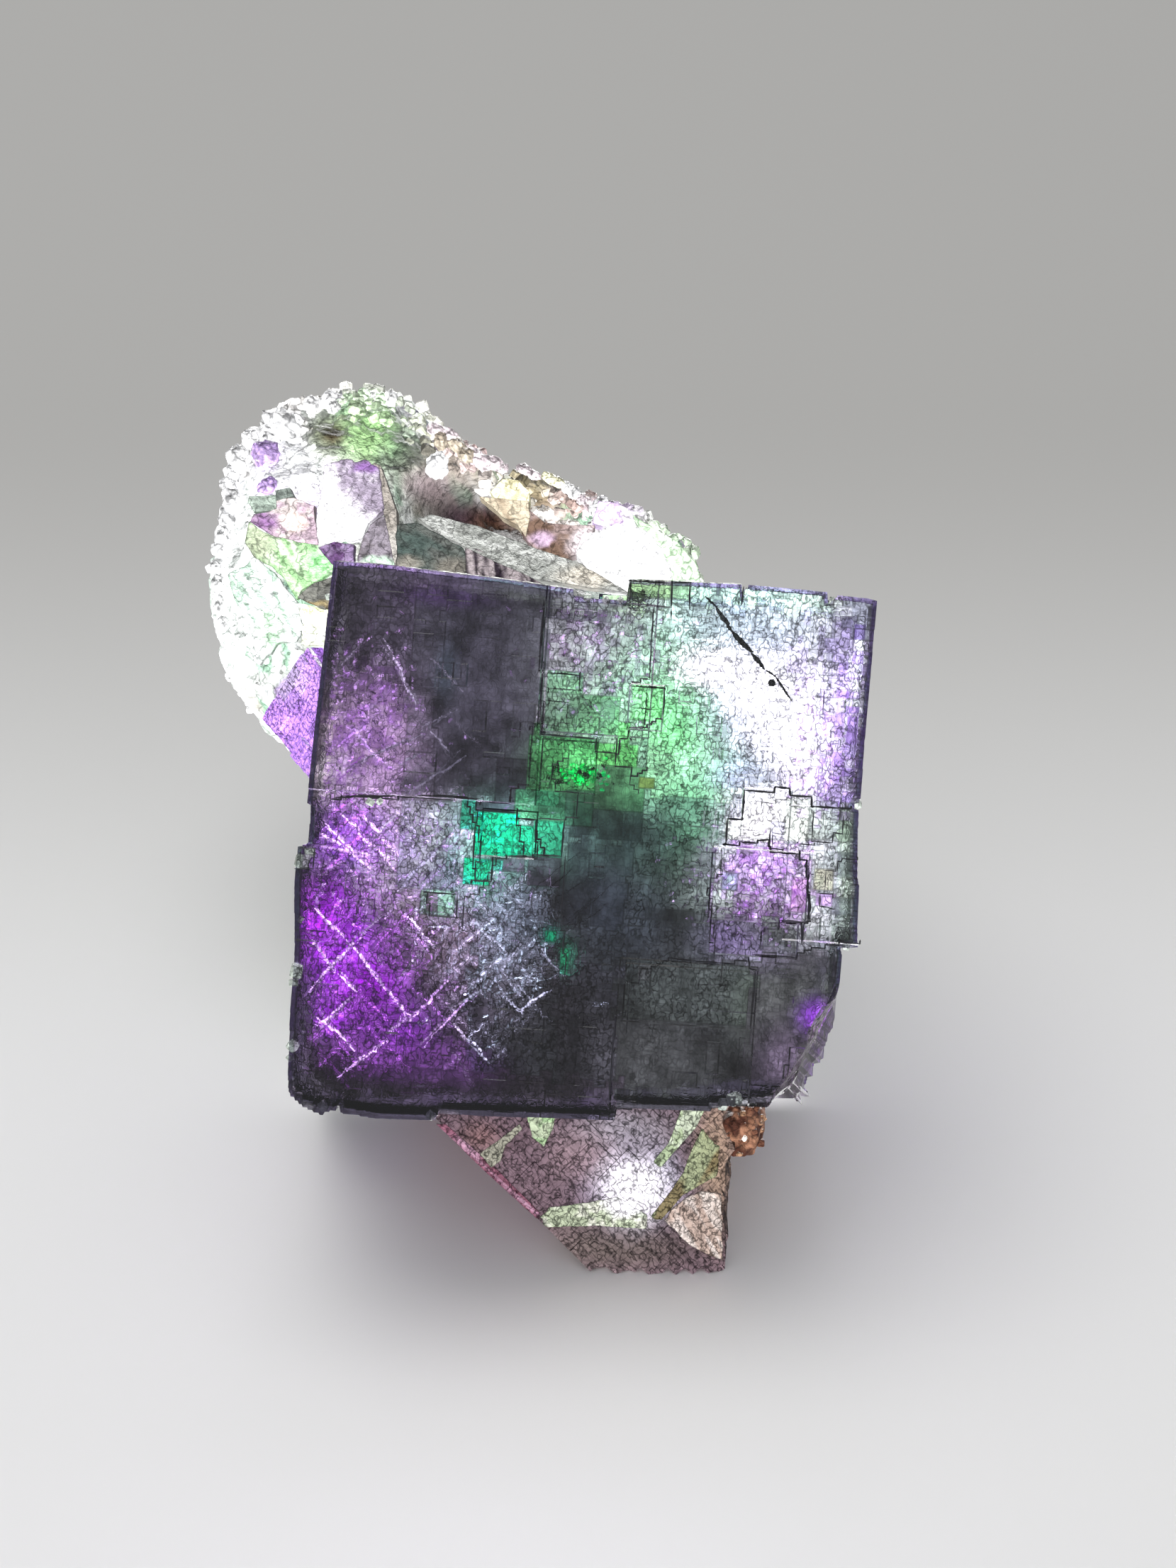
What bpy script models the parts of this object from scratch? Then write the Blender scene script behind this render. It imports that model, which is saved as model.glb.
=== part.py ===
# Fluorite specimen: one large stepped cube grown together with smaller cubes on a lump of massive fluorite.
# Lengths are in millimetres in the crystal frame and become metres when a mesh is made.
# Crystal frame: x right and y up across the large cube's front face, z out of that face towards the viewer.
import math

import bmesh
import bpy
import numpy as np
from mathutils import Matrix, Vector, noise

MM = 0.001

# The specimen rests on an octahedral cleavage face, which cuts a cube's body diagonal at a right angle.
CLEAVAGE_TILT = math.atan(math.sqrt(2.0))
CLEAVAGE_DEPTH = 30.6
ORIGIN_X = 3.69
ORIGIN_Y = -18.94

# Large cube, rolled a little clockwise against the crystals below it.
CUBE_ROLL = math.radians(-4.0)
CUBE_DEPTH = 26.0
# Growth steps of the outline: each level runs from its place to the next place along the edge.
TOP_STEPS = [(-17.1, 16.9), (-9.0, 16.6), (-4.5, 16.2), (-1.5, 15.6), (0.6, 16.0), (1.9, 17.1), (14.7, 16.8)]
RIGHT_STEPS = [(-15.3, 15.7), (-13.6, 16.5), (-10.7, 17.1), (-5.6, 18.0), (-1.0, 17.6), (3.2, 17.8)]
BOTTOM_STEPS = [(-14.3, -18.7), (-8.0, -18.3), (-2.5, -17.8), (3.3, -17.0), (7.2, -16.5), (11.4, -15.8)]
LEFT_STEPS = [(-17.4, -17.7), (-9.4, -18.0), (0.6, -17.6), (7.6, -17.2)]
# Slabs of the cube behind each other: front z, back z, how far the slab stands in from the outline,
# and how far its growth steps have drifted along the edges.
CUBE_SLABS = [(0.0, -8.0, 0.0, 0.0), (-7.5, -17.0, 0.35, 1.3), (-16.5, -CUBE_DEPTH, 0.7, -1.9)]
# Growth plates that stand on the front face: low x, high x, low y, high y, height.
RAISED_PLATES = [
    (-16.7, -3.1, 2.3, 15.9, 0.55),
    (-3.3, 3.8, 7.1, 15.2, 0.30),
    (8.4, 14.6, -4.2, 0.5, 0.45),
    (8.7, 14.2, -6.3, -4.0, 0.35),
    (3.0, 11.8, -15.4, -7.1, 0.40),
    (3.4, 11.7, -11.1, -7.3, 0.65),
    (2.4, 4.7, 7.5, 10.5, 0.60),
]
# Growth plates that lie below the front face: low x, high x, low y, high y, depth.
SUNK_PLATES = [
    (-6.4, -2.9, -1.2, 1.8, 0.45),
    (-3.0, 0.6, 3.2, 6.6, 0.35),
    (10.2, 13.3, 1.0, 4.3, 0.50),
    (13.2, 19.0, -5.3, 3.4, 0.40),
]
PLATE_ROOT = 1.0
# Chipped corner: a point on the break and its outward direction, in the large cube's own turn.
CHIP_POINT = (15.2, -13.0, -1.2)
CHIP_NORMAL = (0.80, -0.38, 0.46)

# Smaller cubes grown into the lump: name, corner, directions of three edges, their lengths.
GROWN_CUBES = [
    ("ledge_cube", (-11.3, 22.0, -23.0),
     [(0.891, -0.454, 0.0), (-0.445, -0.873, -0.2), (0.091, 0.178, -0.98)], (17.0, 17.0, 8.0)),
    ("lilac_cube", (-14.4, 26.0, -23.0),
     [(-0.955, 0.13, -0.265), (0.15, -0.985, 0.05), (0.265, 0.0, -0.964)], (6.5, 14.0, 9.0)),
    ("corner_cube", (-21.9, 8.3, -18.5),
     [(0.51, 0.733, 0.449), (0.55, -0.679, 0.484), (0.66, 0.0, -0.75)], (6.5, 9.5, 9.0)),
]

# Lower cube, turned an eighth of a turn, cut by the cleavage below and broken off on the right.
LOWER_LEFT_REACH = 20.0
LOWER_RIGHT_REACH = 27.2
LOWER_TOP_REACH = 4.0
LOWER_FRONT = -12.0
LOWER_BACK = -38.0
BREAK_POINT = (9.8, -24.0, -20.0)
BREAK_NORMAL = (0.995, -0.08, 0.02)

# Lump of massive fluorite: its outline seen from the front, round its middle, and its depth.
LUMP_MIDDLE = (-8.5, 8.0, -33.0)
LUMP_HALF_DEPTH = 10.0
LUMP_OUTLINE = [
    (8.5, 18.3), (6.7, 21.1), (3.1, 23.4), (-0.5, 23.9), (-5.6, 26.5), (-10.7, 29.3), (-13.3, 31.5),
    (-17.6, 31.8), (-22.2, 30.0), (-24.2, 28.4), (-25.5, 24.7), (-26.3, 19.6), (-25.8, 13.7), (-24.5, 10.0),
    (-18.6, 5.0), (-17.8, -5.0), (-14.0, -13.0), (-4.0, -18.0), (6.0, -17.5), (10.0, -10.0), (11.0, 3.0),
    (10.5, 11.0),
]
LUMP_COLUMNS = 56
LUMP_ROWS = 18
LUMP_ROUGHNESS = 0.9
LUMP_GRAIN = 0.22

# Small brown lump beside the lower cube.
NODULE_MIDDLE = (10.9, -18.6, -14.5)
NODULE_RADII = (1.7, 2.3, 3.0)


def placement():
    """Matrix from the crystal frame in mm to the resting pose in metres, cleavage face down at height 0."""
    lean = Matrix.Rotation(CLEAVAGE_TILT, 4, "X")
    lift = Matrix.Translation((ORIGIN_X, ORIGIN_Y, CLEAVAGE_DEPTH))
    return Matrix.Scale(MM, 4) @ lift @ lean


def cube_turn():
    return Matrix.Rotation(CUBE_ROLL, 4, "Z")


def add_object(name, bm, material=None):
    """Turn a bmesh given in crystal-frame millimetres into a placed object in metres."""
    bmesh.ops.recalc_face_normals(bm, faces=bm.faces)
    bmesh.ops.transform(bm, matrix=placement(), verts=bm.verts)
    mesh = bpy.data.meshes.new(name)
    bm.to_mesh(mesh)
    bm.free()
    obj = bpy.data.objects.new(name, mesh)
    bpy.context.scene.collection.objects.link(obj)
    if material is not None:
        mesh.materials.append(material)
    return obj


def make_guide(obj):
    obj.hide_render = True
    obj.display_type = "WIRE"
    return obj


def block(corner, edges, lengths, turn=None):
    """Closed box from one corner along three edge directions."""
    steps = [Vector(edge).normalized() * length for edge, length in zip(edges, lengths)]
    bm = bmesh.new()
    corners = {}
    for i in (0, 1):
        for j in (0, 1):
            for k in (0, 1):
                point = Vector(corner) + steps[0] * i + steps[1] * j + steps[2] * k
                corners[i, j, k] = bm.verts.new(point)
    for axis in range(3):
        for side in (0, 1):
            ring = [(0, 0), (1, 0), (1, 1), (0, 1)]
            keys = [pair[:axis] + (side,) + pair[axis:] for pair in ring]
            bm.faces.new([corners[key] for key in keys])
    if turn is not None:
        bmesh.ops.transform(bm, matrix=turn, verts=bm.verts)
    return bm


def upright_block(low, high, turn=None):
    lengths = [b - a for a, b in zip(low, high)]
    return block(low, [(1, 0, 0), (0, 1, 0), (0, 0, 1)], lengths, turn)


def cube_outline(inset, drift):
    """Stepped outline of the large cube, walked clockwise from its lower left corner."""
    left = [(level + inset, place + drift) for place, level in LEFT_STEPS]
    top = [(place + drift, level - inset) for place, level in TOP_STEPS]
    right = [(level - inset, place + drift) for place, level in RIGHT_STEPS]
    bottom = [(place + drift, level + inset) for place, level in BOTTOM_STEPS]
    points = []
    for index, (x, y) in enumerate(left):
        end = left[index + 1][1] if index + 1 < len(left) else top[0][1]
        points += [(x, y), (x, end)]
    for index, (x, y) in enumerate(top):
        start = left[-1][0] if index == 0 else x
        end = top[index + 1][0] if index + 1 < len(top) else right[-1][0]
        points += [(start, y), (end, y)]
    for index in reversed(range(len(right))):
        x, y = right[index]
        start = right[index + 1][1] if index + 1 < len(right) else top[-1][1]
        points += [(x, start), (x, y)]
    for index in reversed(range(len(bottom))):
        x, y = bottom[index]
        start = bottom[index + 1][0] if index + 1 < len(bottom) else right[0][0]
        points += [(start, y), (x, y)]
    kept = [points[0]]
    for point in points[1:]:
        if math.dist(point, kept[-1]) > 1e-6:
            kept.append(point)
    return kept


def prism(outline, front, back, turn):
    """Outline pulled straight back from its front level."""
    bm = bmesh.new()
    near = bm.faces.new([bm.verts.new((x, y, front)) for x, y in outline])
    pulled = bmesh.ops.extrude_face_region(bm, geom=[near])
    moved = [item for item in pulled["geom"] if isinstance(item, bmesh.types.BMVert)]
    bmesh.ops.translate(bm, verts=moved, vec=(0, 0, back - front))
    bmesh.ops.transform(bm, matrix=turn, verts=bm.verts)
    return bm


def lump():
    """Closed rounded lump: rows from a front pole to a back pole, each a shrunken copy of the outline."""
    middle = np.array(LUMP_MIDDLE)
    outline = np.array(LUMP_OUTLINE) - middle[:2]
    bearing = np.arctan2(outline[:, 1], outline[:, 0])
    reach = np.hypot(outline[:, 0], outline[:, 1])
    bm = bmesh.new()
    rows = []
    for row in range(1, LUMP_ROWS):
        fall = math.pi * row / LUMP_ROWS
        shrink = math.sin(fall) ** 0.55
        depth = middle[2] + LUMP_HALF_DEPTH * math.cos(fall)
        ring = []
        for column in range(LUMP_COLUMNS):
            angle = 2 * math.pi * column / LUMP_COLUMNS
            radius = shrink * np.interp(angle, bearing, reach, period=2 * math.pi)
            point = Vector((middle[0] + radius * math.cos(angle), middle[1] + radius * math.sin(angle), depth))
            outward = Vector((math.cos(angle) * math.sin(fall), math.sin(angle) * math.sin(fall), math.cos(fall)))
            swell = LUMP_ROUGHNESS * noise.noise(point * LUMP_GRAIN) - 0.5 * LUMP_ROUGHNESS
            ring.append(bm.verts.new(point + outward * swell))
        rows.append(ring)
    for near, far in zip(rows, rows[1:]):
        for column in range(LUMP_COLUMNS):
            after = (column + 1) % LUMP_COLUMNS
            bm.faces.new([near[column], near[after], far[after], far[column]])
    for ring, side in ((rows[0], 1), (rows[-1], -1)):
        pole = bm.verts.new((middle[0], middle[1], middle[2] + side * LUMP_HALF_DEPTH))
        for column in range(LUMP_COLUMNS):
            bm.faces.new([ring[column], ring[(column + 1) % LUMP_COLUMNS], pole])
    bmesh.ops.triangulate(bm, faces=bm.faces)
    return bm


def nodule():
    bm = bmesh.new()
    bmesh.ops.create_icosphere(bm, subdivisions=2, radius=1.0)
    for vert in bm.verts:
        swell = 1.0 + 0.18 * noise.noise(vert.co * 1.7)
        vert.co = Vector(NODULE_MIDDLE) + Vector([a * b * swell for a, b in zip(vert.co, NODULE_RADII)])
    return bm


def lower_cube():
    """Box turned an eighth of a turn about the front direction, so one corner would point straight down."""
    turn = Matrix.Rotation(math.radians(45.0), 4, "Z")
    low = (-LOWER_LEFT_REACH, -LOWER_RIGHT_REACH, LOWER_BACK)
    high = (LOWER_TOP_REACH, LOWER_TOP_REACH, LOWER_FRONT)
    return upright_block(low, high, turn)


def half_space(point, normal, size, turn=None):
    """Large box whose near face passes through a point and looks against a direction."""
    outward = Vector(normal).normalized()
    side = outward.orthogonal().normalized()
    other = outward.cross(side)
    corner = Vector(point) - side * size / 2 - other * size / 2
    return block(corner, [side, other, outward], [size, size, size], turn)


def join(target, guide, operation):
    modifier = target.modifiers.new(guide.name, "BOOLEAN")
    modifier.operation = operation
    modifier.solver = "EXACT"
    modifier.object = guide


def fluorite_material():
    material = bpy.data.materials.new("fluorite")
    material.use_nodes = True
    shader = material.node_tree.nodes["Principled BSDF"]
    shader.inputs["Base Color"].default_value = (0.20, 0.08, 0.36, 1.0)
    shader.inputs["Roughness"].default_value = 0.12
    shader.inputs["Metallic"].default_value = 0.0
    return material


def main():
    for obj in list(bpy.data.objects):
        bpy.data.objects.remove(obj, do_unlink=True)

    turn = cube_turn()
    front, back, inset, drift = CUBE_SLABS[0]
    front_slab = prism(cube_outline(inset, drift), front, back, turn)
    specimen = add_object("fluorite_specimen", front_slab, fluorite_material())

    for index, (near, far, step, slip) in enumerate(CUBE_SLABS[1:]):
        slab = prism(cube_outline(step, slip), near, far, turn)
        join(specimen, make_guide(add_object(f"cube_slab_{index}", slab)), "UNION")

    lower = make_guide(add_object("lower_cube", lower_cube()))
    join(lower, make_guide(add_object("break_cut", half_space(BREAK_POINT, BREAK_NORMAL, 60.0))), "DIFFERENCE")
    join(specimen, lower, "UNION")
    for name, corner, edges, lengths in GROWN_CUBES:
        join(specimen, make_guide(add_object(name, block(corner, edges, lengths))), "UNION")
    join(specimen, make_guide(add_object("nodule", nodule())), "UNION")
    join(specimen, make_guide(add_object("lump", lump())), "UNION")

    for index, (x0, x1, y0, y1, height) in enumerate(RAISED_PLATES):
        bm = upright_block((x0, y0, -PLATE_ROOT), (x1, y1, height), turn)
        join(specimen, make_guide(add_object(f"raised_plate_{index}", bm)), "UNION")
    for index, (x0, x1, y0, y1, depth) in enumerate(SUNK_PLATES):
        bm = upright_block((x0, y0, -depth), (x1, y1, PLATE_ROOT), turn)
        join(specimen, make_guide(add_object(f"sunk_plate_{index}", bm)), "DIFFERENCE")

    chip = half_space(CHIP_POINT, CHIP_NORMAL, 12.0, turn)
    join(specimen, make_guide(add_object("corner_chip", chip)), "DIFFERENCE")
    down = (0.0, -math.sin(CLEAVAGE_TILT), -math.cos(CLEAVAGE_TILT))
    foot = tuple(CLEAVAGE_DEPTH * part for part in down)
    join(specimen, make_guide(add_object("cleavage", half_space(foot, down, 90.0))), "DIFFERENCE")


main()
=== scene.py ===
import math
import bpy
import numpy as np
from mathutils import Matrix, Vector


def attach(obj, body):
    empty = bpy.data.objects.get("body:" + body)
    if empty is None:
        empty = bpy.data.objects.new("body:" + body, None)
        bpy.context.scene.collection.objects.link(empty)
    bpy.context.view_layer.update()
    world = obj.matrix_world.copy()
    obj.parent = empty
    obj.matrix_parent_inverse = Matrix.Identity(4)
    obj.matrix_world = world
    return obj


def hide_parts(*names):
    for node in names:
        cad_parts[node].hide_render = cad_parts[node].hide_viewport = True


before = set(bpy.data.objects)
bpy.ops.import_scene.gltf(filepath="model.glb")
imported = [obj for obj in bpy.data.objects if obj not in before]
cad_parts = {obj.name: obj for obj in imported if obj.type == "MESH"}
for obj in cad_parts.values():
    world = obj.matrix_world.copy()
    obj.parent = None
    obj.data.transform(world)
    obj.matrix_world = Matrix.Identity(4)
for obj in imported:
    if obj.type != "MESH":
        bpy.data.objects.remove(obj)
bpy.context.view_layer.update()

print("frame loaded")

# The crystal frame is in mm: x right and y up across the large cube's front face, z out of it.
# The specimen rests on an octahedral cleavage, so the frame leans back by a fixed angle.
stance = {
    "tilt": math.atan(math.sqrt(2.0)),
    "footDepth": 30.6,
    "originX": 3.69,
    "originY": -18.94,
    "cubeRoll": math.radians(-4.0),
}
down = np.array([0.0, -math.sqrt(2.0 / 3.0), -math.sqrt(1.0 / 3.0)])  # straight down, in the crystal frame
# The plane that the specimen stands on: a point and its outward normal.
ground = (stance["footDepth"] * down, down)

# What all the fluorite shares: refraction, absorption, the height of its etching in metres, and how much
# light milky crystal passes on.
fluorite = {"ior": 1.434, "absorption": 1.2, "etchHeight": 0.00006, "milk": 0.64}
litPieces = bpy.data.collections.new("litPieces")


def place(points):
    # crystal frame in mm to the resting pose in metres
    c, s = math.cos(stance["tilt"]), math.sin(stance["tilt"])
    x, y, z = points.T
    across = x + stance["originX"]
    back = y * c - z * s + stance["originY"]
    up = y * s + z * c + stance["footDepth"]
    return np.stack([across, back, up], axis=1) * 0.001


def rolled(points, angle):
    # turned about the front direction
    c, s = math.cos(angle), math.sin(angle)
    x, y, z = points.T
    return np.stack([x * c - y * s, x * s + y * c, z], axis=1)


def inCube(points):
    # turned as the large cube is
    return rolled(points, stance["cubeRoll"])


def fromCorner(points, corner, edges):
    # a corner plus each coordinate times its own edge's unit direction
    out = np.zeros_like(points) + np.array(corner, dtype=float)
    for axis, edge in enumerate(edges):
        direction = np.array(edge, dtype=float)
        out += points[:, axis:axis + 1] * direction / np.linalg.norm(direction)
    return out


def bearing(start, end):
    # direction and length of each line from start to end
    reach = end - start
    return np.arctan2(reach[:, 1], reach[:, 0]), np.hypot(*reach.T)


def lattice(cells, seed):
    # one repeatable random value in 0..1 for each row of whole numbers
    mixed = cells @ np.array([127.1, 311.7, 74.7][:cells.shape[1]]) + seed * 19.19
    value = np.sin(mixed) * 43758.5453
    return value - np.floor(value)


def noise(points, size, seed):
    # value noise in -1..1: lattice values blended by a smoothstep along each axis
    p = points / size + 100.0
    cell = np.floor(p)
    t = p - cell
    t = t * t * (3.0 - 2.0 * t)
    total = np.zeros(len(points))
    for dx in (0, 1):
        for dy in (0, 1):
            for dz in (0, 1):
                step = np.array([dx, dy, dz])
                weight = np.prod(np.where(step, t, 1.0 - t), axis=1)
                total += weight * lattice(cell + step, seed)
    return total * 2.0 - 1.0


def smooth(value, low, high):
    # smoothstep from 0 at low to 1 at high
    t = np.clip((value - low) / (high - low), 0.0, 1.0)
    return t * t * (3.0 - 2.0 * t)


def makePiece(name, points, faces, material, attributes=None, rounded=False, faceShade=None):
    # points in the crystal frame; faces has one row of corner numbers for each face
    mesh = bpy.data.meshes.new(name)
    mesh.vertices.add(len(points))
    mesh.vertices.foreach_set("co", place(points).astype(np.float32).ravel())
    count, corners = faces.shape
    mesh.loops.add(count * corners)
    mesh.loops.foreach_set("vertex_index", faces.astype(np.int32).ravel())
    mesh.polygons.add(count)
    mesh.polygons.foreach_set("loop_start", np.arange(count, dtype=np.int32) * corners)
    mesh.update(calc_edges=True)
    mesh.polygons.foreach_set("use_smooth", np.full(count, rounded))
    for key, values in (attributes or {}).items():
        layer = mesh.attributes.new(key, "FLOAT_COLOR", "CORNER")
        full = np.ones((count * corners, 4))
        full[:, :3] = values[faces.ravel()]
        if faceShade is not None:
            full[:, :3] *= np.repeat(faceShade, corners)[:, None]
        layer.data.foreach_set("color", full.astype(np.float32).ravel())
    mesh.materials.append(material)
    piece = bpy.data.objects.new(name, mesh)
    bpy.context.scene.collection.objects.link(piece)
    litPieces.objects.link(piece)
    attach(piece, "root")
    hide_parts("fluorite_specimen")
    print(name, count, "faces")
    return piece


def growthLines(low, high, firm, count, rng, gap=0.03):
    # grid lines across one side: loose growth lines and firm plate edges, each doubled so that a step
    # stands upright
    margin, apart, looseApart = 0.3, 0.17, 0.20
    kept = [low]
    for edge in sorted(firm):
        if edge - kept[-1] > (apart if len(kept) > 1 else margin) and edge < high - margin:
            kept.append(edge)
    firm = np.array(kept[1:], dtype=float)
    spacing = (high - low) / count
    loose = low + spacing * (np.arange(1, count) + rng.uniform(-0.38, 0.38, count - 1))
    if len(firm):
        loose = loose[np.abs(loose[:, None] - firm[None, :]).min(axis=1) > looseApart]
    middle = np.concatenate([loose, firm])
    half = np.concatenate([np.full(len(loose), gap), np.full(len(firm), 1.8 * gap)])
    order = np.argsort(middle)
    middle, half = middle[order], half[order]
    return np.concatenate([[low], np.stack([middle - half, middle + half], axis=1).ravel(), [high]])


def boxGrid(lines):
    # closed surface of a box on three sets of doubled lines: points, the middle of each point's cell,
    # outward quads, and which quads are the thin strips between two cells
    shape = [len(line) for line in lines]
    shell = np.zeros(shape, dtype=bool)
    shell[[0, -1]] = True
    shell[:, [0, -1]] = True
    shell[:, :, [0, -1]] = True
    index = np.argwhere(shell)
    number = -np.ones(shape, dtype=np.int64)
    number[shell] = np.arange(len(index))
    middles = [line.reshape(-1, 2).mean(axis=1) for line in lines]
    points = np.stack([lines[axis][index[:, axis]] for axis in range(3)], axis=1)
    cells = np.stack([middles[axis][index[:, axis] // 2] for axis in range(3)], axis=1)
    onEnd = (index == 0) | (index == np.array(shape) - 1)
    cells[onEnd] = points[onEnd]
    quads, strips = [], []
    for grid, outward in ((number[:, :, -1], True), (number[:, :, 0], False), (number[-1], True),
                          (number[0], False), (number[:, -1], False), (number[:, 0], True)):
        a, b, c, d = grid[:-1, :-1], grid[1:, :-1], grid[1:, 1:], grid[:-1, 1:]
        order = (a, b, c, d) if outward else (a, d, c, b)
        quads.append(np.stack([part.ravel() for part in order], axis=1))
        first, second = np.arange(a.shape[0]) % 2 == 1, np.arange(a.shape[1]) % 2 == 1
        strips.append((first[:, None] | second[None, :]).ravel())
    return points, cells, np.concatenate(quads), np.concatenate(strips)


def ringFaces(rings, columns):
    # triangles between closed rings of points, and fans that close the first and last ring with the two
    # last points
    number = np.arange(rings * columns).reshape(rings, columns)
    after = np.roll(number, -1, axis=1)
    a, b, c, d = number[:-1], number[1:], after[1:], after[:-1]
    tip, tail = np.full(columns, rings * columns), np.full(columns, rings * columns + 1)
    groups = [(a, b, c), (a, c, d), (tip, number[0], after[0]), (tail, after[-1], number[-1])]
    return np.concatenate([np.stack([corner.ravel() for corner in group], axis=1) for group in groups])


def platesOn(first, second, boxes):
    # sum of the heights of rectangular plates, each given as low, high, low, high, height
    total = np.zeros(len(first))
    for low1, high1, low2, high2, height in boxes:
        total += height * ((first > low1) & (first < high1) & (second > low2) & (second < high2))
    return total


def smallPlates(range1, range2, count, size, height, rng):
    # random small growth plates, raised or sunk
    middle1, middle2 = rng.uniform(*range1, count), rng.uniform(*range2, count)
    half1, half2 = rng.uniform(0.15, size, count) ** 1.3, rng.uniform(0.15, size, count) ** 1.3
    rise = rng.uniform(-height, height, count)
    return np.stack([middle1 - half1, middle1 + half1, middle2 - half2, middle2 + half2, rise], axis=1)


def levelAt(across, profile):
    # height of an edge's outline, straight between its listed points
    return np.interp(across, [point[0] for point in profile], [point[1] for point in profile])


def cutTowards(points, centre, planes, rough=0.0, seed=0):
    # every point past a plane slides towards the centre until it lies on the plane; planes are (point,
    # outward normal)
    centre = np.array(centre, dtype=float)
    out = points.copy()
    for at, normal in planes:
        normal = np.array(normal, dtype=float) / np.linalg.norm(normal)
        limit = (np.array(at, dtype=float) - centre) @ normal
        reach = (out - centre) @ normal
        bumpy = limit + rough * noise(out, 1.7, seed) + 0.5 * rough * noise(out, 0.6, seed + 1)
        share = np.where(reach > bumpy, bumpy / np.maximum(reach, 1e-6), 1.0)
        out = centre + (out - centre) * share[:, None]
    return out


def filled(colour, points):
    # the same colour for every point
    return np.tile(np.array(colour, dtype=float), (len(points), 1))


def paint(colour, mask, value, strength=1.0):
    # blends one colour into a table of colours by a mask in 0..1
    blend = (mask * strength)[:, None]
    return colour * (1.0 - blend) + np.array(value, dtype=float) * blend


def blob(x, y, middleX, middleY, radiusX, radiusY=None, power=2.0):
    # round soft spot, 1 in its middle
    radiusY = radiusY or radiusX
    return np.exp(-((((x - middleX) / radiusX) ** 2 + ((y - middleY) / radiusY) ** 2) ** (power / 2)))


class Socket:
    # a shader socket with arithmetic: each operator adds its Math node
    def __init__(self, tree, socket):
        self.tree, self.socket = tree, socket

    def math(self, operation, *values):
        node = self.tree.nodes.new("ShaderNodeMath")
        node.operation = operation
        for slot, value in zip(node.inputs, (self,) + values):
            feed(self.tree, slot, value)
        return Socket(self.tree, node.outputs[0])

    def __add__(self, other):
        return self.math("ADD", other)

    def __sub__(self, other):
        return self.math("SUBTRACT", other)

    def __rsub__(self, other):
        return (self * -1.0).math("ADD", other)

    def __mul__(self, other):
        return self.math("MULTIPLY", other)

    __radd__, __rmul__ = __add__, __mul__

    def absolute(self):
        return self.math("ABSOLUTE")


def feed(tree, slot, value):
    if isinstance(value, Socket):
        tree.links.new(value.socket, slot)
    else:
        slot.default_value = value


class Shader:
    # one material's nodes
    def __init__(self, name):
        self.material = bpy.data.materials.new(name)
        self.material.use_nodes = True
        self.tree = self.material.node_tree
        self.tree.nodes.clear()
        self.out = self.tree.nodes.new("ShaderNodeOutputMaterial")

    def node(self, kind, settings=None, inputs=None, output=0):
        node = self.tree.nodes.new(kind)
        for key, value in (settings or {}).items():
            setattr(node, key, value)
        for key, value in (inputs or {}).items():
            feed(self.tree, node.inputs[key], value)
        return Socket(self.tree, node.outputs[output])

    def position(self, turn=(0.0, 0.0, 0.0), stretch=(1.0, 1.0, 1.0)):
        # object coordinates in mm, turned to a crystal's own axes, then stretched
        coords = self.node("ShaderNodeTexCoord", output=3)
        scaled = self.node("ShaderNodeMapping", None,
                           {"Vector": coords, "Rotation": turn, "Scale": (1000.0,) * 3})
        return self.node("ShaderNodeVectorMath", {"operation": "MULTIPLY"}, {0: scaled, 1: stretch})

    def attribute(self, name):
        return self.node("ShaderNodeAttribute", {"attribute_name": name}, output=0)

    def noise(self, vector, scale=1.0, detail=2.0, roughness=0.5):
        return self.node("ShaderNodeTexNoise", {"noise_dimensions": "3D"},
                         {"Vector": vector, "Scale": scale, "Detail": detail, "Roughness": roughness})

    def spread(self, value, low, high, toLow=0.0, toHigh=1.0):
        return self.node("ShaderNodeMapRange", {"interpolation_type": "SMOOTHSTEP"},
                         {0: value, 1: low, 2: high, 3: toLow, 4: toHigh})

    def mix(self, factor, a, b, blend="MIX"):
        return self.node("ShaderNodeMix", {"data_type": "RGBA", "blend_type": blend},
                         {0: factor, 6: a, 7: b}, output=2)

    def shade(self, colour, value):
        # a colour made darker by a number from 0 to 1
        return self.node("ShaderNodeMix", {"data_type": "RGBA"},
                         {0: value, 6: (0.0, 0.0, 0.0, 1.0), 7: colour}, output=2)

    def bump(self, height, strength, distance):
        return self.node("ShaderNodeBump", None,
                         {"Strength": strength, "Distance": distance, "Height": height})

    def skin(self, colour, roughness, more=None):
        return self.node("ShaderNodeBsdfPrincipled", None,
                         {"Base Color": colour, "Roughness": roughness, **(more or {})})

    def crystal(self, colour, roughness, etched, etchStrength, absorbed):
        # clear fluorite: the colour times itself tints what passes, and a volume absorbs more of it with
        # depth
        body = self.node("ShaderNodeVolumeAbsorption", None,
                         {"Color": absorbed, "Density": fluorite["absorption"]})
        self.tree.links.new(body.socket, self.out.inputs["Volume"])
        return self.skin(self.mix(1.0, colour, colour, "MULTIPLY"), roughness, {
            "IOR": fluorite["ior"], "Transmission Weight": 1.0,
            "Normal": self.bump(etched, etchStrength, fluorite["etchHeight"])})

    def milk(self, colour, more=None):
        return self.node("ShaderNodeBsdfTranslucent", None, {"Color": colour, **(more or {})})

    def blend(self, share, first, second):
        return self.node("ShaderNodeMixShader", None, {0: share, 1: first, 2: second})

    def surface(self, socket):
        self.tree.links.new(socket.socket, self.out.inputs["Surface"])


cubeTurn = (-stance["tilt"], 0.0, -stance["cubeRoll"])


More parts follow.
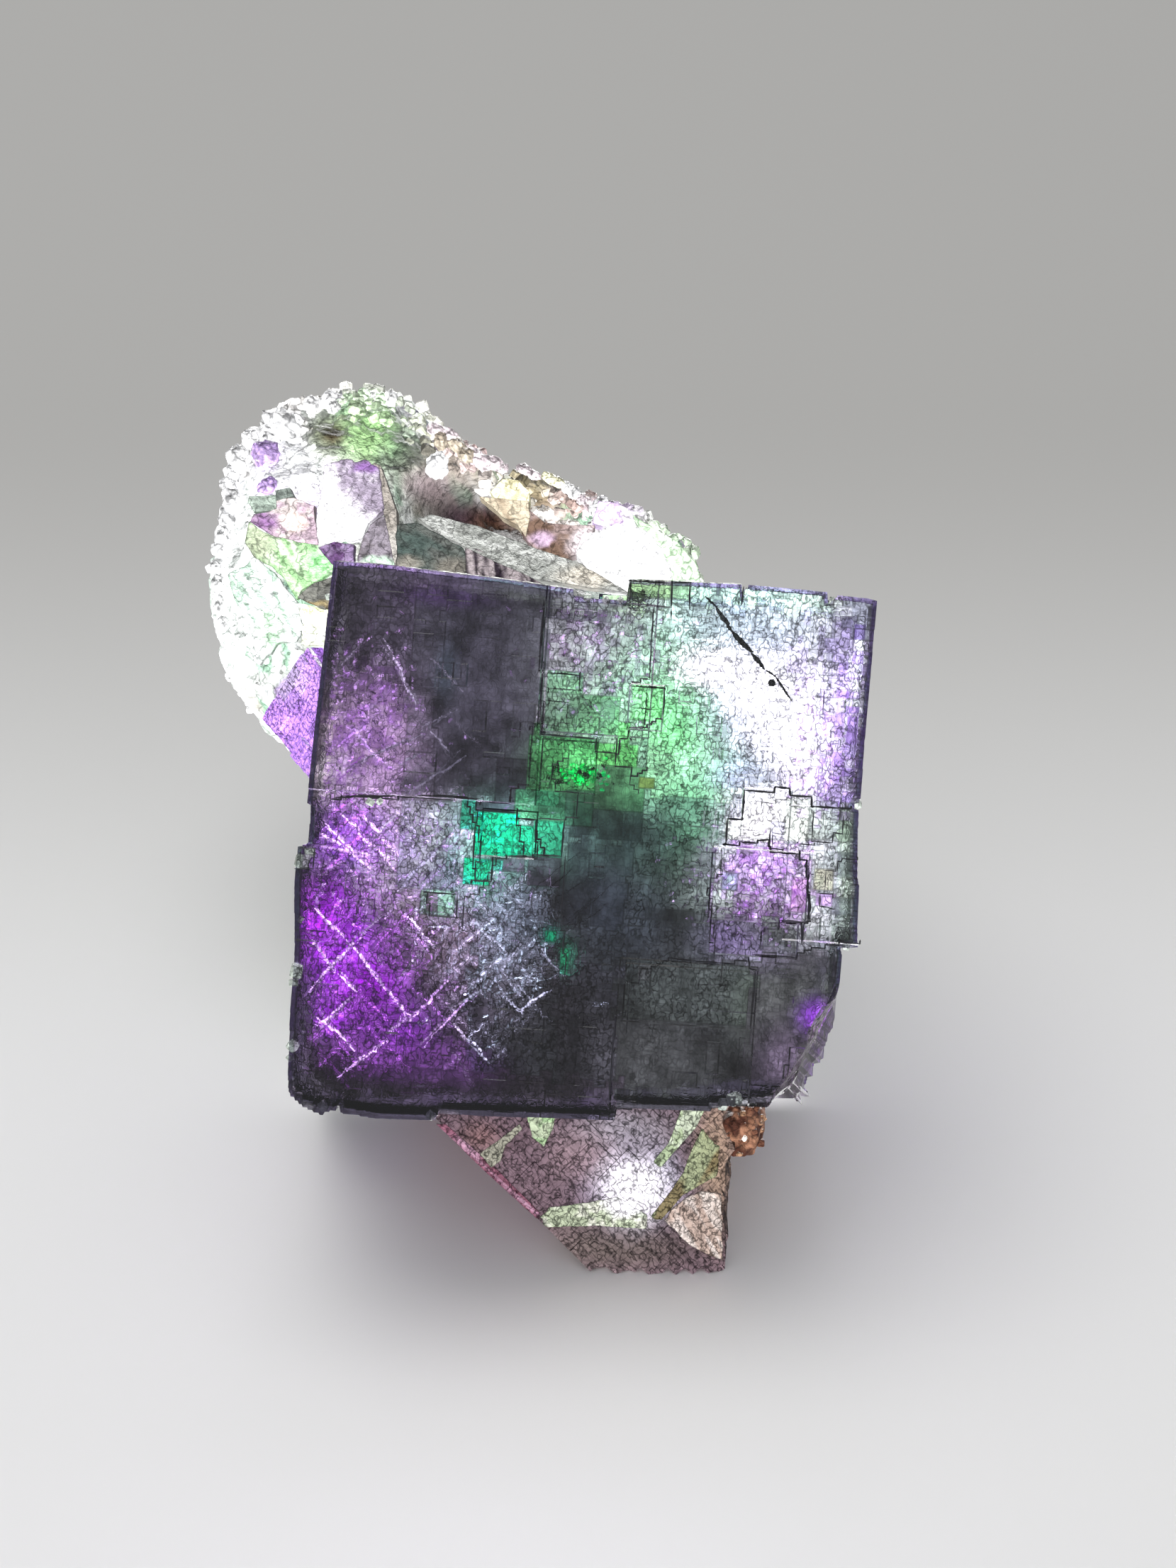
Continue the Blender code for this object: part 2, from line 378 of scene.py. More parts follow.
def etchedLines(s, turn, scale=1.0, calmed=False):
    # fine dark etch lines along two edge directions, from noise stretched along each, a speckle and a maze;
    # when calmed, faint in the darkest zones
    alongX = s.noise(s.position(turn, (0.55 * scale, 2.3 * scale, 1.2 * scale)), 1.0, 2.0)
    alongY = s.noise(s.position(turn, (2.3 * scale, 0.55 * scale, 1.2 * scale)), 1.0, 2.0)
    coarse = s.noise(s.position(turn), 0.55 * scale, 3.0, 0.6)
    speckle = s.noise(s.position(turn), 3.4 * scale, 2.0, 0.7)
    lineX = s.spread((alongX - 0.5).absolute(), 0.0, 0.040, 0.55, 1.0)
    lineY = s.spread((alongY - 0.5).absolute(), 0.0, 0.040, 0.55, 1.0)
    grain = s.spread(speckle, 0.34, 0.58, 0.72, 1.0)
    winding = s.noise(s.position(turn, (1.0, 0.75, 1.0)), 2.4 * scale, 1.0, 0.5)
    maze = s.spread((winding - 0.5).absolute(), 0.0, 0.080, 0.26, 1.0)
    pattern = lineX * lineY * grain * maze * s.spread(coarse, 0.25, 0.6, 0.80, 1.0)
    if not calmed:
        return pattern
    calm = s.spread(s.node("ShaderNodeRGBToBW", None, {0: s.attribute("zones")}), 0.30, 0.52, 0.62, 0.0)
    return pattern * (1.0 - calm) + calm * 0.8


# Large cube: growth steps along its outline, slabs behind each other, and plates on its front face.
largeCube = {
    "low": (-17.6, -17.6, -26.0),
    "high": (17.6, 16.4, 0.0),
    "top": [(-17.0, 16.87), (-13.9, 16.88), (-10.1, 16.68), (-6.5, 16.5), (-2.6, 16.22), (-1.61, 16.15),
            (-1.6, 15.62), (1.94, 15.67), (1.95, 17.03), (5.8, 17.13), (9.15, 17.22), (9.3, 16.4),
            (9.45, 17.22), (14.5, 17.12), (14.7, 16.4), (15.3, 16.95), (17.4, 16.87), (17.8, 16.66)],
    "right": [(-15.3, 15.4), (-14.1, 15.65), (-12.9, 16.5), (-11.3, 16.7), (-10.8, 17.04), (-6.0, 17.1),
              (-5.44, 16.95), (-5.43, 18.08), (-4.1, 17.98), (-1.7, 17.92), (-0.8, 17.75), (3.3, 17.5),
              (3.7, 17.1), (4.0, 17.55), (9.2, 17.62), (17.0, 17.77)],
    "bottom": [(-17.5, -17.4), (-16.7, -17.95), (-15.2, -18.5), (-15.0, -18.2), (-14.5, -18.1),
               (-14.35, -17.5), (-14.2, -18.2), (-11.9, -18.43), (-8.02, -18.27), (-8.0, -17.85),
               (-4.8, -17.75), (3.38, -17.48), (3.4, -16.66), (9.4, -16.47), (9.6, -16.25), (11.87, -15.8),
               (13.56, -15.5), (17.0, -15.3)],
    "left": [(-18.5, -17.0), (-17.3, -17.52), (-16.0, -17.66), (-11.9, -17.8), (-8.6, -17.76),
             (-3.8, -18.06), (-1.31, -18.03), (-1.3, -17.5), (-0.95, -17.3), (1.2, -17.4), (1.21, -17.64),
             (6.5, -17.45), (11.5, -17.22), (16.6, -17.0)],
    "slabs": [(-26.0, 0.34, -1.9), (-16.5, 0.17, 1.3), (-7.5, 0.0, 0.0)],  # start depth, inset, drift
    "plates": [  # low x, high x, low y, high y, height
        (-20.0, -3.1, 2.3, 20.0, 0.55),
        (-3.3, 3.8, 7.1, 20.0, 0.30),
        (8.4, 14.6, -4.2, 0.5, 0.30),
        (8.7, 14.2, -6.3, -4.2, 0.20),
        (3.0, 11.8, -20.0, -7.1, 0.10),
        (3.4, 11.7, -11.1, -7.3, 0.05),
        (2.4, 4.7, 7.5, 10.5, 0.30),
        (-6.4, -2.9, -1.2, 1.8, -0.20),
        (-3.0, 0.6, 3.2, 6.6, -0.12),
        (10.2, 13.3, 1.0, 4.3, -0.50),
        (13.2, 20.0, -5.3, 3.4, -0.40),
    ],
    "chip": ((15.2, -13.0, -1.2), (0.80, -0.38, 0.46)),
    "middle": (0.0, 0.0, -13.0),
    "looseLines": 62,
    "depthLines": 13,
    "seed": 7,
    "rimReach": 1.6,  # how far in from an outline its steps still move the points
    "frontReach": 3.0,  # and how far behind the front its plates do
    "frontRange": ((-18, 18), (-18, 17)),
    "frontPlates": (420, 0.9),  # how many and how large
    "plateHeight": 0.045,
    "sideRange": ((-18, 18), (-26, 0)),
    "sidePlates": (110, 1.8, 0.045),  # how many, how large, how high
    "mosaic": (650, 0.95, 0.22),  # small plates that let more or less light through
}

# What each front zone lets through, as (low x, high x, low y, high y, red, green, blue), painted in this
# order.
frontZones = [
    (-20.0, 20.0, -20.0, 20.0, 0.62, 0.62, 0.7),
    (-20.0, -3.1, 2.3, 20.0, 0.275, 0.265, 0.31),
    (-5.6, -3.6, 2.3, 5.2, 0.15, 0.13, 0.17),
    (-20.0, -9.8, 2.3, 20.0, 0.365, 0.345, 0.4),
    (-20.0, -11.6, 2.3, 20.0, 0.46, 0.4, 0.5),
    (-20.0, -6.4, -20.0, 2.3, 0.8, 0.72, 0.86),
    (-6.4, -0.8, -20.0, 0.4, 0.55, 0.6, 0.66),
    (-1.4, 8.9, -7.6, 1.6, 0.42, 0.46, 0.48),
    (-1.2, 3.8, 0.4, 3.2, 0.19, 0.22, 0.24),
    (-0.8, 3.3, -20.0, -8.0, 0.5, 0.5, 0.58),
    (-1.2, 3.2, -5.0, 0.4, 0.31, 0.34, 0.38),
    (-3.1, 3.8, 6.7, 20.0, 0.78, 0.74, 0.8),
    (-3.1, 1.9, 14.3, 20.0, 0.58, 0.54, 0.62),
    (-2.8, 1.9, 7.0, 9.5, 0.42, 0.62, 0.46),
    (-3.0, -0.6, 9.6, 10.9, 0.46, 0.8, 0.52),
    (3.8, 14.7, 3.4, 20.0, 0.92, 0.96, 0.94),
    (15.0, 20.0, 3.4, 20.0, 0.88, 0.86, 0.96),
    (15.6, 20.0, 14.2, 20.0, 0.47, 0.47, 0.57),
    (4.2, 14.7, 15.4, 20.0, 0.8, 0.86, 0.94),
    (1.9, 4.7, 15.6, 20.0, 0.62, 0.7, 0.52),
    (4.6, 5.9, 15.6, 20.0, 0.44, 0.52, 0.46),
    (5.85, 7.7, 16.6, 20.0, 0.02, 0.02, 0.03),
    (7.5, 7.8, 15.9, 16.6, 0.3, 0.3, 0.4),
    (2.5, 4.75, 8.1, 10.4, 0.66, 0.92, 0.66),
    (1.85, 2.6, 5.2, 7.9, 0.46, 0.86, 0.46),
    (-3.75, 0.6, 3.2, 6.75, 0.25, 0.6, 0.31),
    (0.6, 3.9, 2.4, 5.1, 0.24, 0.36, 0.28),
    (0.6, 3.2, 5.1, 6.5, 0.36, 0.74, 0.36),
    (-3.5, -3.0, 6.7, 7.5, 0.36, 0.84, 0.4),
    (3.3, 4.4, 3.8, 4.5, 0.36, 0.3, 0.14),
    (-4.4, -0.6, 1.4, 3.3, 0.2, 0.46, 0.3),
    (-3.2, -1.6, 2.3, 3.3, 0.16, 0.54, 0.32),
    (-1.2, 0.6, 1.2, 3.4, 0.14, 0.26, 0.2),
    (-11.5, -7.8, -3.6, 2.1, 0.6, 0.6, 0.72),
    (-5.7, -3.4, -2.2, -0.9, 0.3, 0.22, 0.31),
    (-3.4, -1.2, -2.9, -0.9, 0.25, 0.19, 0.26),
    (-6.8, -4.4, 1.6, 2.3, 0.16, 0.14, 0.2),
    (-7.4, -5.65, -3.1, -1.3, 0.04, 0.88, 0.52),
    (-7.85, -6.75, 0.4, 2.26, 0.1, 0.66, 0.5),
    (-6.85, -4.05, -1.15, 1.65, 0.02, 0.87, 0.52),
    (-4.3, -3.1, -1.0, 0.9, 0.05, 0.8, 0.51),
    (-3.1, -1.2, -0.95, 1.4, 0.09, 0.6, 0.4),
    (-5.65, -4.9, -2.05, -1.37, 0.14, 0.6, 0.5),
    (-1.9, -1.15, -6.3, -5.7, 0.1, 0.8, 0.5),
    (-0.8, -0.3, -8.3, -6.75, 0.2, 0.8, 0.56),
    (-10.0, -7.7, -5.2, -3.6, 0.62, 0.9, 0.72),
    (-9.6, -8.9, -5.0, -3.8, 0.3, 0.26, 0.3),
    (8.5, 14.5, -4.1, 0.75, 0.8, 0.64, 0.95),
    (11.7, 13.9, 0.0, 0.95, 0.84, 0.72, 0.95),
    (8.5, 9.9, -4.1, 0.75, 0.84, 0.86, 0.9),
    (9.1, 10.1, -2.3, -1.1, 0.6, 0.76, 0.8),
    (13.6, 14.7, -3.4, -1.2, 0.74, 0.44, 0.84),
    (8.6, 12.0, -6.4, -4.1, 0.62, 0.54, 0.76),
    (12.0, 14.3, -5.9, -4.5, 0.42, 0.44, 0.46),
    (14.8, 20.0, -5.2, 1.3, 0.66, 0.68, 0.7),
    (15.0, 16.2, -2.0, -0.55, 0.7, 0.7, 0.55),
    (15.2, 16.3, -2.9, -2.1, 0.6, 0.42, 0.72),
    (16.4, 18.2, -0.9, 0.6, 0.36, 0.38, 0.42),
    (16.2, 18.2, -3.4, -2.2, 0.34, 0.36, 0.4),
    (14.4, 20.0, 1.3, 3.45, 0.62, 0.68, 0.64),
    (16.3, 20.0, 1.3, 2.4, 0.36, 0.4, 0.38),
    (12.9, 14.4, 1.1, 4.05, 0.9, 0.95, 0.88),
    (10.1, 12.9, 2.3, 4.5, 1.0, 1.0, 1.0),
    (9.15, 12.0, 0.9, 2.4, 1.0, 1.0, 0.98),
    (3.0, 11.8, -20.0, -7.1, 0.345, 0.37, 0.37),
    (3.3, 11.8, -10.9, -7.1, 0.42, 0.485, 0.445),
    (4.3, 5.0, -8.4, -7.4, 0.85, 0.9, 0.85),
    (11.6, 20.0, -20.0, -6.1, 0.385, 0.365, 0.42),
    (9.7, 11.8, -15.8, -14.9, 0.75, 0.8, 0.76),
    (-15.5, 3.4, -20.0, -15.0, 0.44, 0.38, 0.48),
    (-20.0, 20.0, -20.0, -17.0, 0.1, 0.09, 0.13),
    (3.4, 20.0, -20.0, -15.9, 0.14, 0.14, 0.16),
    (-20.0, -17.35, -20.0, 20.0, 0.2, 0.17, 0.26),
    (-20.0, -1.6, 16.4, 20.0, 0.14, 0.12, 0.18),
    (17.55, 20.0, -20.0, 20.0, 0.3, 0.26, 0.4),
    (-18.2, -17.3, -3.0, -1.4, 0.6, 0.66, 0.6),
    (-18.2, -17.0, -10.3, -8.8, 0.85, 0.9, 0.88),
    (-18.0, -17.2, -14.6, -13.2, 0.4, 0.44, 0.42),
    (-17.4, -16.7, -1.9, -1.2, 0.8, 0.84, 0.8),
    (-14.0, -12.9, 1.65, 2.05, 0.95, 0.9, 0.98),
    (-8.4, -6.6, -20.0, -17.5, 0.34, 0.3, 0.34),
    (-16.6, -15.9, -20.0, -17.3, 0.3, 0.3, 0.32),
]


# Speckled parts of the front: middle x, y, radius x, y, share of cells, and the tint on them.
frontSpeckle = [
    (15.2, 7.2, 2.4, 4.2, 0.5, 0.84, 0.68, 0.97),
    (14.4, 12.6, 2.6, 2.6, 0.5, 0.82, 0.76, 0.92),
    (16.9, 10.0, 0.9, 6.5, 0.6, 0.68, 0.56, 0.86),
    (11.5, -2.0, 3.0, 2.6, 0.5, 0.76, 0.58, 0.84),
    (-14.5, 6.5, 2.6, 4.5, 0.5, 0.78, 0.66, 0.86),
    (0.5, 12.0, 3.0, 3.6, 0.45, 0.78, 0.68, 0.82),
    (15.4, -2.0, 1.5, 3.2, 0.4, 0.74, 0.78, 0.76),
]


def largeCubeZones(cells, points, rng):
    # zones on the front from their list with stepped borders, and bands by depth on the other sides
    x, y, z = cells.T
    fine = np.floor(cells[:, :2] / 0.85)
    jagX = x + 0.8 * (lattice(np.stack([np.zeros(len(x)), fine[:, 1]], axis=1), 3) - 0.5)
    jagY = y + 0.8 * (lattice(np.stack([fine[:, 0], np.zeros(len(x))], axis=1), 5) - 0.5)
    colour = np.ones((len(x), 3))
    zone = np.zeros(len(x))
    for number, (lowX, highX, lowY, highY, *value) in enumerate(frontZones):
        wide = min(highX - lowX, highY - lowY) > 4.0
        u, v = (jagX, jagY) if wide else (x, y)
        inside = (u > lowX) & (u < highX) & (v > lowY) & (v < highY)
        zone[inside] = number
        colour = paint(colour, inside.astype(float), value)
    mosaic = platesOn(x, y, smallPlates(*largeCube["frontRange"], *largeCube["mosaic"], rng))
    colour *= np.clip(1.0 + mosaic, 0.45, 1.35)[:, None]
    for number, (middleX, middleY, radiusX, radiusY, share, *tint) in enumerate(frontSpeckle):
        chance = share * blob(x, y, middleX, middleY, radiusX, radiusY, 4.0)
        picked = lattice(np.floor(cells[:, :2] / 0.33), 150 + number) < chance
        colour = np.where(picked[:, None], colour * np.array(tint), colour)
    bands = 0.5 + 0.5 * np.sin(z * 0.9 + 0.6 * np.floor(x / 5.0) + 0.9 * np.floor(y / 6.0))
    side = np.array([0.62, 0.50, 0.80]) * (1 - bands[:, None])
    side = side + np.array([0.90, 0.90, 0.94]) * bands[:, None]
    side *= np.clip(0.8 + 0.4 * lattice(np.floor(cells / 1.7), 11), 0, 1)[:, None]
    # painted shade: the sides darken towards the underside, which the light from behind would otherwise make
    # glow
    side *= (1.0 - 0.72 * smooth(-y, 16.0, 17.2))[:, None]
    front = (points[:, 2] > -1e-6)[:, None]
    return np.where(front, colour, side), zone + mosaic


def cubeBody(looseLines, depthLines, firmX, firmY, seed, plateHeight=0.0):
    # box on doubled lines whose sides carry the growth steps and whose front carries plates
    part = largeCube
    rng = np.random.default_rng(seed)
    low, high = np.array(part["low"]), np.array(part["high"])
    lines = [growthLines(low[0], high[0], firmX, looseLines, rng),
             growthLines(low[1], high[1], firmY, looseLines, rng),
             growthLines(low[2], high[2], [slab[0] for slab in part["slabs"]], depthLines, rng)]
    points, cells, quads, strips = boxGrid(lines)
    depth = cells[:, 2]
    slab = np.clip(np.searchsorted([start for start, _, _ in part["slabs"]], depth, side="right") - 1, 0, 2)
    inset, drift = np.array([values for _, *values in part["slabs"]])[slab].T
    front = platesOn(*cells[:, :2].T, part["plates"])
    frontPlates = smallPlates(*part["frontRange"], *part["frontPlates"], plateHeight, rng)
    front += platesOn(*cells[:, :2].T, frontPlates)
    sidePlates = smallPlates(*part["sideRange"], *part["sidePlates"], rng)
    moved = points.copy()
    for axis, sides in enumerate((("right", "left"), ("top", "bottom"))):
        across = cells[:, 1 - axis]
        shift = 0.0
        for name, end, sign in zip(sides, (high[axis], low[axis]), (1, -1)):
            steps = sign * platesOn(sign * across, depth, sidePlates)
            move = levelAt(across - drift, part[name]) - sign * inset - end + steps
            shift = shift + move * np.clip(1 - sign * (end - points[:, axis]) / part["rimReach"], 0, 1)
        moved[:, axis] += shift
    moved[:, 2] += front * np.clip(1 + points[:, 2] / part["frontReach"], 0, 1)
    frontQuads = (len(lines[0]) - 1) * (len(lines[1]) - 1)
    return points, cells, moved, quads, frontQuads, strips, rng


# Where the outline of the large cube steps, across and up.
cubeSteps = ([-1.6, 1.94, 9.15, 9.45, 14.6, 15.3, -15.2, -14.4, -14.2, -8.0, 3.4, 9.5, 11.9, 13.6],
             [-5.44, 3.45, 3.9, -1.3, -0.95, 1.2, -10.9, -12.9, -14.1])


def makeLargeCube():
    part = largeCube
    firmX = cubeSteps[0] + [edge for box in part["plates"] + frontZones for edge in box[:2]]
    firmY = cubeSteps[1] + [edge for box in part["plates"] + frontZones for edge in box[2:4]]
    body = cubeBody(part["looseLines"], part["depthLines"], firmX, firmY, part["seed"], part["plateHeight"])
    points, cells, moved, quads, frontQuads, strips, rng = body
    zones, zone = largeCubeZones(cells, points, rng)
    # each thin strip between cells takes painted shade where it climbs a step, standing in for the light
    # that its upright wall turns away, and is darkened as a dark joint where two zones meet
    rise = np.ptp((moved - points)[quads], axis=1)
    rise = np.where(np.arange(len(quads)) < frontQuads, rise[:, 2], rise.max(axis=1))
    meet = np.ptp(zone[quads], axis=1) * (np.arange(len(quads)) < frontQuads)
    patchy = 0.5 + 0.5 * lattice(np.floor(cells[quads[:, 0]] / 0.9), 13)
    shaded = np.maximum(smooth(rise, 0.005, 0.06), 0.55 * smooth(meet, 0.03, 0.5))
    faceShade = 1.0 - strips * shaded * patchy * 0.9
    whole = moved
    moved = cutTowards(moved, part["middle"], [part["chip"]], 0.18, 31)
    chipped = (np.abs(moved - whole).sum(axis=1) > 1e-4)[:, None]
    facet = np.array([0.86, 0.74, 0.86]) * (0.8 + 0.3 * noise(moved, 0.6, 33))[:, None]
    zones = np.where(chipped, facet, zones)

    s = Shader("zonedFluorite")
    etched = etchedLines(s, cubeTurn, calmed=True)
    colour = s.shade(s.attribute("zones"), etched)
    s.surface(s.crystal(colour, 0.14, etched, 0.35, (0.72, 0.62, 0.85, 1.0)))
    makePiece("large_cube", inCube(moved), quads, s.material,
              {"zones": zones}, faceShade=faceShade)


makeLargeCube()


def behindChip(points):
    # what is sealed in the large cube stays 0.6 mm behind its chipped corner
    at, normal = largeCube["chip"]
    return cutTowards(points, largeCube["middle"], [(np.array(at) - 0.6 * np.array(normal), normal)])


# Sealed in the large cube: a phantom of an earlier growth stage, open in front, whose back is lit from
# behind and carries painted light in its colours: white hot spots where the light blows out and dark patches
# where little comes through, over the crystal's green and violet zoning.
phantom = {
    "lines": (105, 12),
    "seed": 17,
    "drawnIn": (0.974, 0.985),  # deep inside, and at the front
    "depths": ([-26.0, -7.5, 0.0], [-8.6, -8.1, -1.0]),  # in the large cube, and where they lie here
    "seen": (0.16, 3.82, 0.978),  # the spots' x and y are scaled about a middle: its x, y and the scale
    "spots": [  # middle x, y, radius x, y, colour, strength
        # painted light: the spots brighter than 1 are where the light from behind blows out, the near-black
        # ones where little comes through; the greens and violets are the crystal's zoning
        (-9.0, 10.0, 8.0, 7.0, (0.19, 0.19, 0.215), 1.0),
        (-8.0, -6.4, 5.4, 5.0, (0.19, 0.15, 0.165), 1.0),
        (-6.3, -4.4, 1.6, 1.4, (0.14, 0.13, 0.12), 0.9),
        (-4.0, -5.2, 2.0, 3.2, (0.21, 0.24, 0.27), 1.0),
        (-8.6, -11.4, 3.6, 2.4, (0.08, 0.06, 0.09), 0.9),
        (-7.6, -15.2, 3.0, 1.3, (0.22, 0.1, 0.29), 0.9),
        (-11.6, -14.5, 4.0, 1.3, (0.3, 0.08, 0.44), 0.9),
        (8.4, -9.0, 4.8, 3.0, (0.172, 0.184, 0.18), 1.0),
        (6.0, -14.0, 3.6, 2.6, (0.215, 0.22, 0.212), 1.0),
        (14.0, -9.5, 3.0, 3.4, (0.23, 0.27, 0.21), 1.0),
        (14.6, -13.2, 2.2, 2.6, (0.32, 0.27, 0.33), 1.0),
        (12.6, -6.3, 2.2, 1.2, (0.36, 0.36, 0.4), 0.8),
        (3.0, -4.0, 3.4, 4.2, (0.09, 0.105, 0.12), 1.0),
        (0.8, 12.0, 4.6, 4.8, (0.8, 0.9, 0.82), 1.0),
        (1.5, 8.5, 3.0, 3.4, (0.28, 0.5, 0.32), 0.8),
        (3.8, 16.0, 2.2, 1.5, (0.44, 0.54, 0.38), 0.9),
        (-1.2, 15.5, 2.4, 1.5, (0.13, 0.13, 0.16), 0.9),
        (6.2, 8.6, 5.2, 7.0, (0.62, 1.46, 0.74), 1.0),
        (5.6, 8.0, 1.9, 2.1, (0.36, 1.5, 0.44), 0.9),
        (1.2, 5.5, 4.2, 1.9, (0.55, 1.12, 0.6), 1.0),
        (4.4, 4.4, 1.5, 1.3, (0.32, 0.72, 0.36), 0.7),
        (7.2, 3.0, 2.8, 2.4, (0.31, 0.84, 0.41), 0.95),
        (4.0, 0.8, 3.0, 1.9, (0.1, 0.17, 0.14), 0.9),
        (9.8, 15.2, 5.6, 2.8, (0.86, 1.06, 1.08), 0.95),
        (15.6, 14.8, 3.2, 3.0, (0.84, 0.9, 0.9), 0.9),
        (17.0, 16.0, 1.6, 1.6, (0.2, 0.2, 0.28), 0.9),
        (17.4, 9.5, 2.4, 6.0, (1.45, 1.35, 1.7), 0.9),
        (16.6, 5.6, 2.2, 2.0, (0.8, 0.62, 1.1), 0.9),
        (11.4, 9.8, 4.2, 4.2, (1.0, 0.98, 1.3), 0.9),
        (8.1, 12.1, 2.4, 1.3, (4.0, 4.0, 4.0), 1.0),
        (11.0, 11.0, 2.0, 1.8, (4.0, 4.0, 4.0), 1.0),
        (13.0, 8.5, 2.4, 2.6, (4.0, 4.0, 4.0), 1.0),
        (13.8, 12.2, 1.6, 1.4, (2.4, 2.4, 2.5), 0.9),
        (14.0, 5.6, 1.6, 1.3, (2.8, 2.6, 3.0), 0.9),
        (10.2, 5.0, 2.0, 1.1, (0.5, 0.56, 0.8), 0.85),
        (16.4, 1.8, 1.4, 1.5, (0.85, 0.95, 0.9), 0.95),
        (14.4, 2.2, 1.7, 1.6, (2.0, 2.2, 1.9), 0.95),
        (11.3, 2.3, 2.1, 2.1, (2.8, 2.9, 2.7), 1.0),
        (11.4, -2.4, 3.8, 2.4, (0.5, 0.58, 0.46), 1.0),
        (8.9, -1.4, 1.3, 2.4, (0.8, 0.95, 0.8), 0.9),
        (11.4, -0.5, 2.6, 1.3, (1.55, 1.5, 1.65), 0.9),
        (9.6, -5.4, 1.8, 1.4, (0.3, 0.28, 0.36), 0.9),
        (17.0, -2.0, 1.6, 4.6, (0.31, 0.34, 0.38), 0.95),
        (15.5, -1.8, 1.4, 3.4, (1.8, 1.9, 1.7), 0.95),
        (16.0, -2.6, 0.8, 0.8, (1.6, 1.6, 1.6), 0.9),
        (-10.6, -0.8, 3.2, 2.8, (0.92, 0.96, 0.8), 0.95),
        (-8.0, -2.6, 1.8, 1.8, (0.34, 0.48, 0.52), 0.8),
        (-4.4, 0.4, 4.0, 2.3, (0.8, 1.6, 1.15), 1.0),
        (-6.3, -1.8, 1.8, 2.0, (0.7, 1.5, 1.05), 0.9),
        (-14.9, -0.6, 2.8, 2.0, (0.44, 0.12, 0.92), 0.95),
        (-12.4, -2.8, 2.2, 1.8, (0.64, 0.6, 0.68), 0.85),
        (-8.5, -4.4, 1.2, 1.0, (0.7, 1.0, 0.85), 0.9),
        (-15.2, -8.4, 2.3, 2.8, (0.44, 0.02, 0.86), 1.0),
        (-16.4, -5.9, 1.6, 2.2, (0.58, 0.03, 1.0), 1.0),
        (-13.3, -10.4, 2.4, 2.4, (0.42, 0.01, 0.72), 0.95),
        (-11.2, -12.8, 2.4, 1.4, (0.28, 0.03, 0.5), 0.85),
        (-15.6, -12.6, 0.9, 0.9, (0.6, 0.04, 1.1), 0.85),
        (-1.6, -6.1, 0.6, 0.45, (0.14, 0.8, 0.54), 0.9),
        (-0.4, -7.4, 0.4, 1.0, (0.12, 0.6, 0.34), 0.9),
        (-0.2, 0.2, 0.8, 1.6, (0.1, 0.13, 0.13), 0.8),
        (-11.2, -7.4, 1.5, 1.5, (0.16, 0.08, 0.2), 0.7),
        (-14.4, 5.4, 3.2, 4.0, (1.2, 0.9, 1.2), 0.95),
        (-10.8, 3.0, 1.9, 1.0, (0.32, 0.3, 0.36), 0.8),
        (-16.2, 3.6, 1.8, 1.5, (1.3, 1.15, 1.3), 0.8),
        (-10.0, 15.6, 3.0, 0.7, (0.16, 0.07, 0.26), 0.6),
        (-9.6, 10.6, 0.8, 2.0, (0.1, 0.16, 0.17), 0.7),
        (16.3, -10.2, 1.2, 1.0, (0.8, 0.16, 1.6), 1.0),
    ],
    "exposure": 0.32,
}


def makePhantom():
    # the large cube's own stepped sides drawn in a little, without its front; the back's colours, painted
    # light over green and violet zoning, are a pile of soft spots, placed as the front shows them
    part = phantom
    points, cells, moved, quads, frontQuads = cubeBody(*part["lines"], *cubeSteps, part["seed"])[:5]
    inside, atFront = part["drawnIn"]
    drawnIn = inside + (atFront - inside) * smooth(points[:, 2], -7.0, -1.0)
    moved[:, :2] *= drawnIn[:, None]
    back = points[:, 2] < -25.9
    moved[:, 2] = np.interp(moved[:, 2], *part["depths"]) + np.where(back, 0.3 * noise(moved, 5.0, 41), 0.0)
    flat = points * np.array([1.0, 1.0, 0.0])
    colour = np.full((len(points), 3), 0.035)
    middleX, middleY, scale = part["seen"]
    seenX, seenY = middleX + (points[:, 0] - middleX) * scale, middleY + (points[:, 1] - middleY) * scale
    for x, y, radiusX, radiusY, value, strength in part["spots"]:
        colour = paint(colour, blob(seenX, seenY, x, y, radiusX, radiusY, 2.6), value, strength)
    mottled = np.maximum(1.0 + 0.45 * noise(flat, 1.1, 43) + 0.45 * noise(flat, 0.45, 44), 0.2)
    colour = np.clip(colour * part["exposure"] * mottled[:, None], 0.0, 0.95)
    bands = smooth(noise(cells * np.array([0.2, 0.2, 1.0]), 2.2, 45), -0.3, 0.4)[:, None]
    side = np.array([0.010, 0.008, 0.014]) * (1 - bands) + np.array([0.040, 0.032, 0.056]) * bands
    s = Shader("phantomPaintedGlow")
    speckle = s.noise(s.position(), 1.5, 4.0, 0.72)
    glow = s.shade(s.attribute("glow"), s.spread(speckle, 0.36, 0.62, 0.45, 1.0))
    s.surface(s.milk(glow))
    # the side walls take the back's painted light, brighter, over their own banding
    glow = np.where(back[:, None], colour, np.clip(side + colour * (1.7, 2.0, 1.4), 0.0, 0.95))
    makePiece("growth_phantom", inCube(behindChip(moved)), quads[frontQuads:], s.material,
              {"glow": glow})


makePhantom()


# Growth bands between the phantom and the large cube's sides: lines, what they are drawn in by, and their
# colours.
growthBands = {
    "lines": (60, 40),
    "seed": 19,
    "drawnIn": 0.988,
    "shortened": (0.93, -1.1),  # depth times the first plus the second
    "dark": (0.055, 0.035, 0.12),
    "violet": (0.26, 0.12, 0.46),
    "green": (0.10, 0.34, 0.24),
    "pale": (0.56, 0.50, 0.68),
}


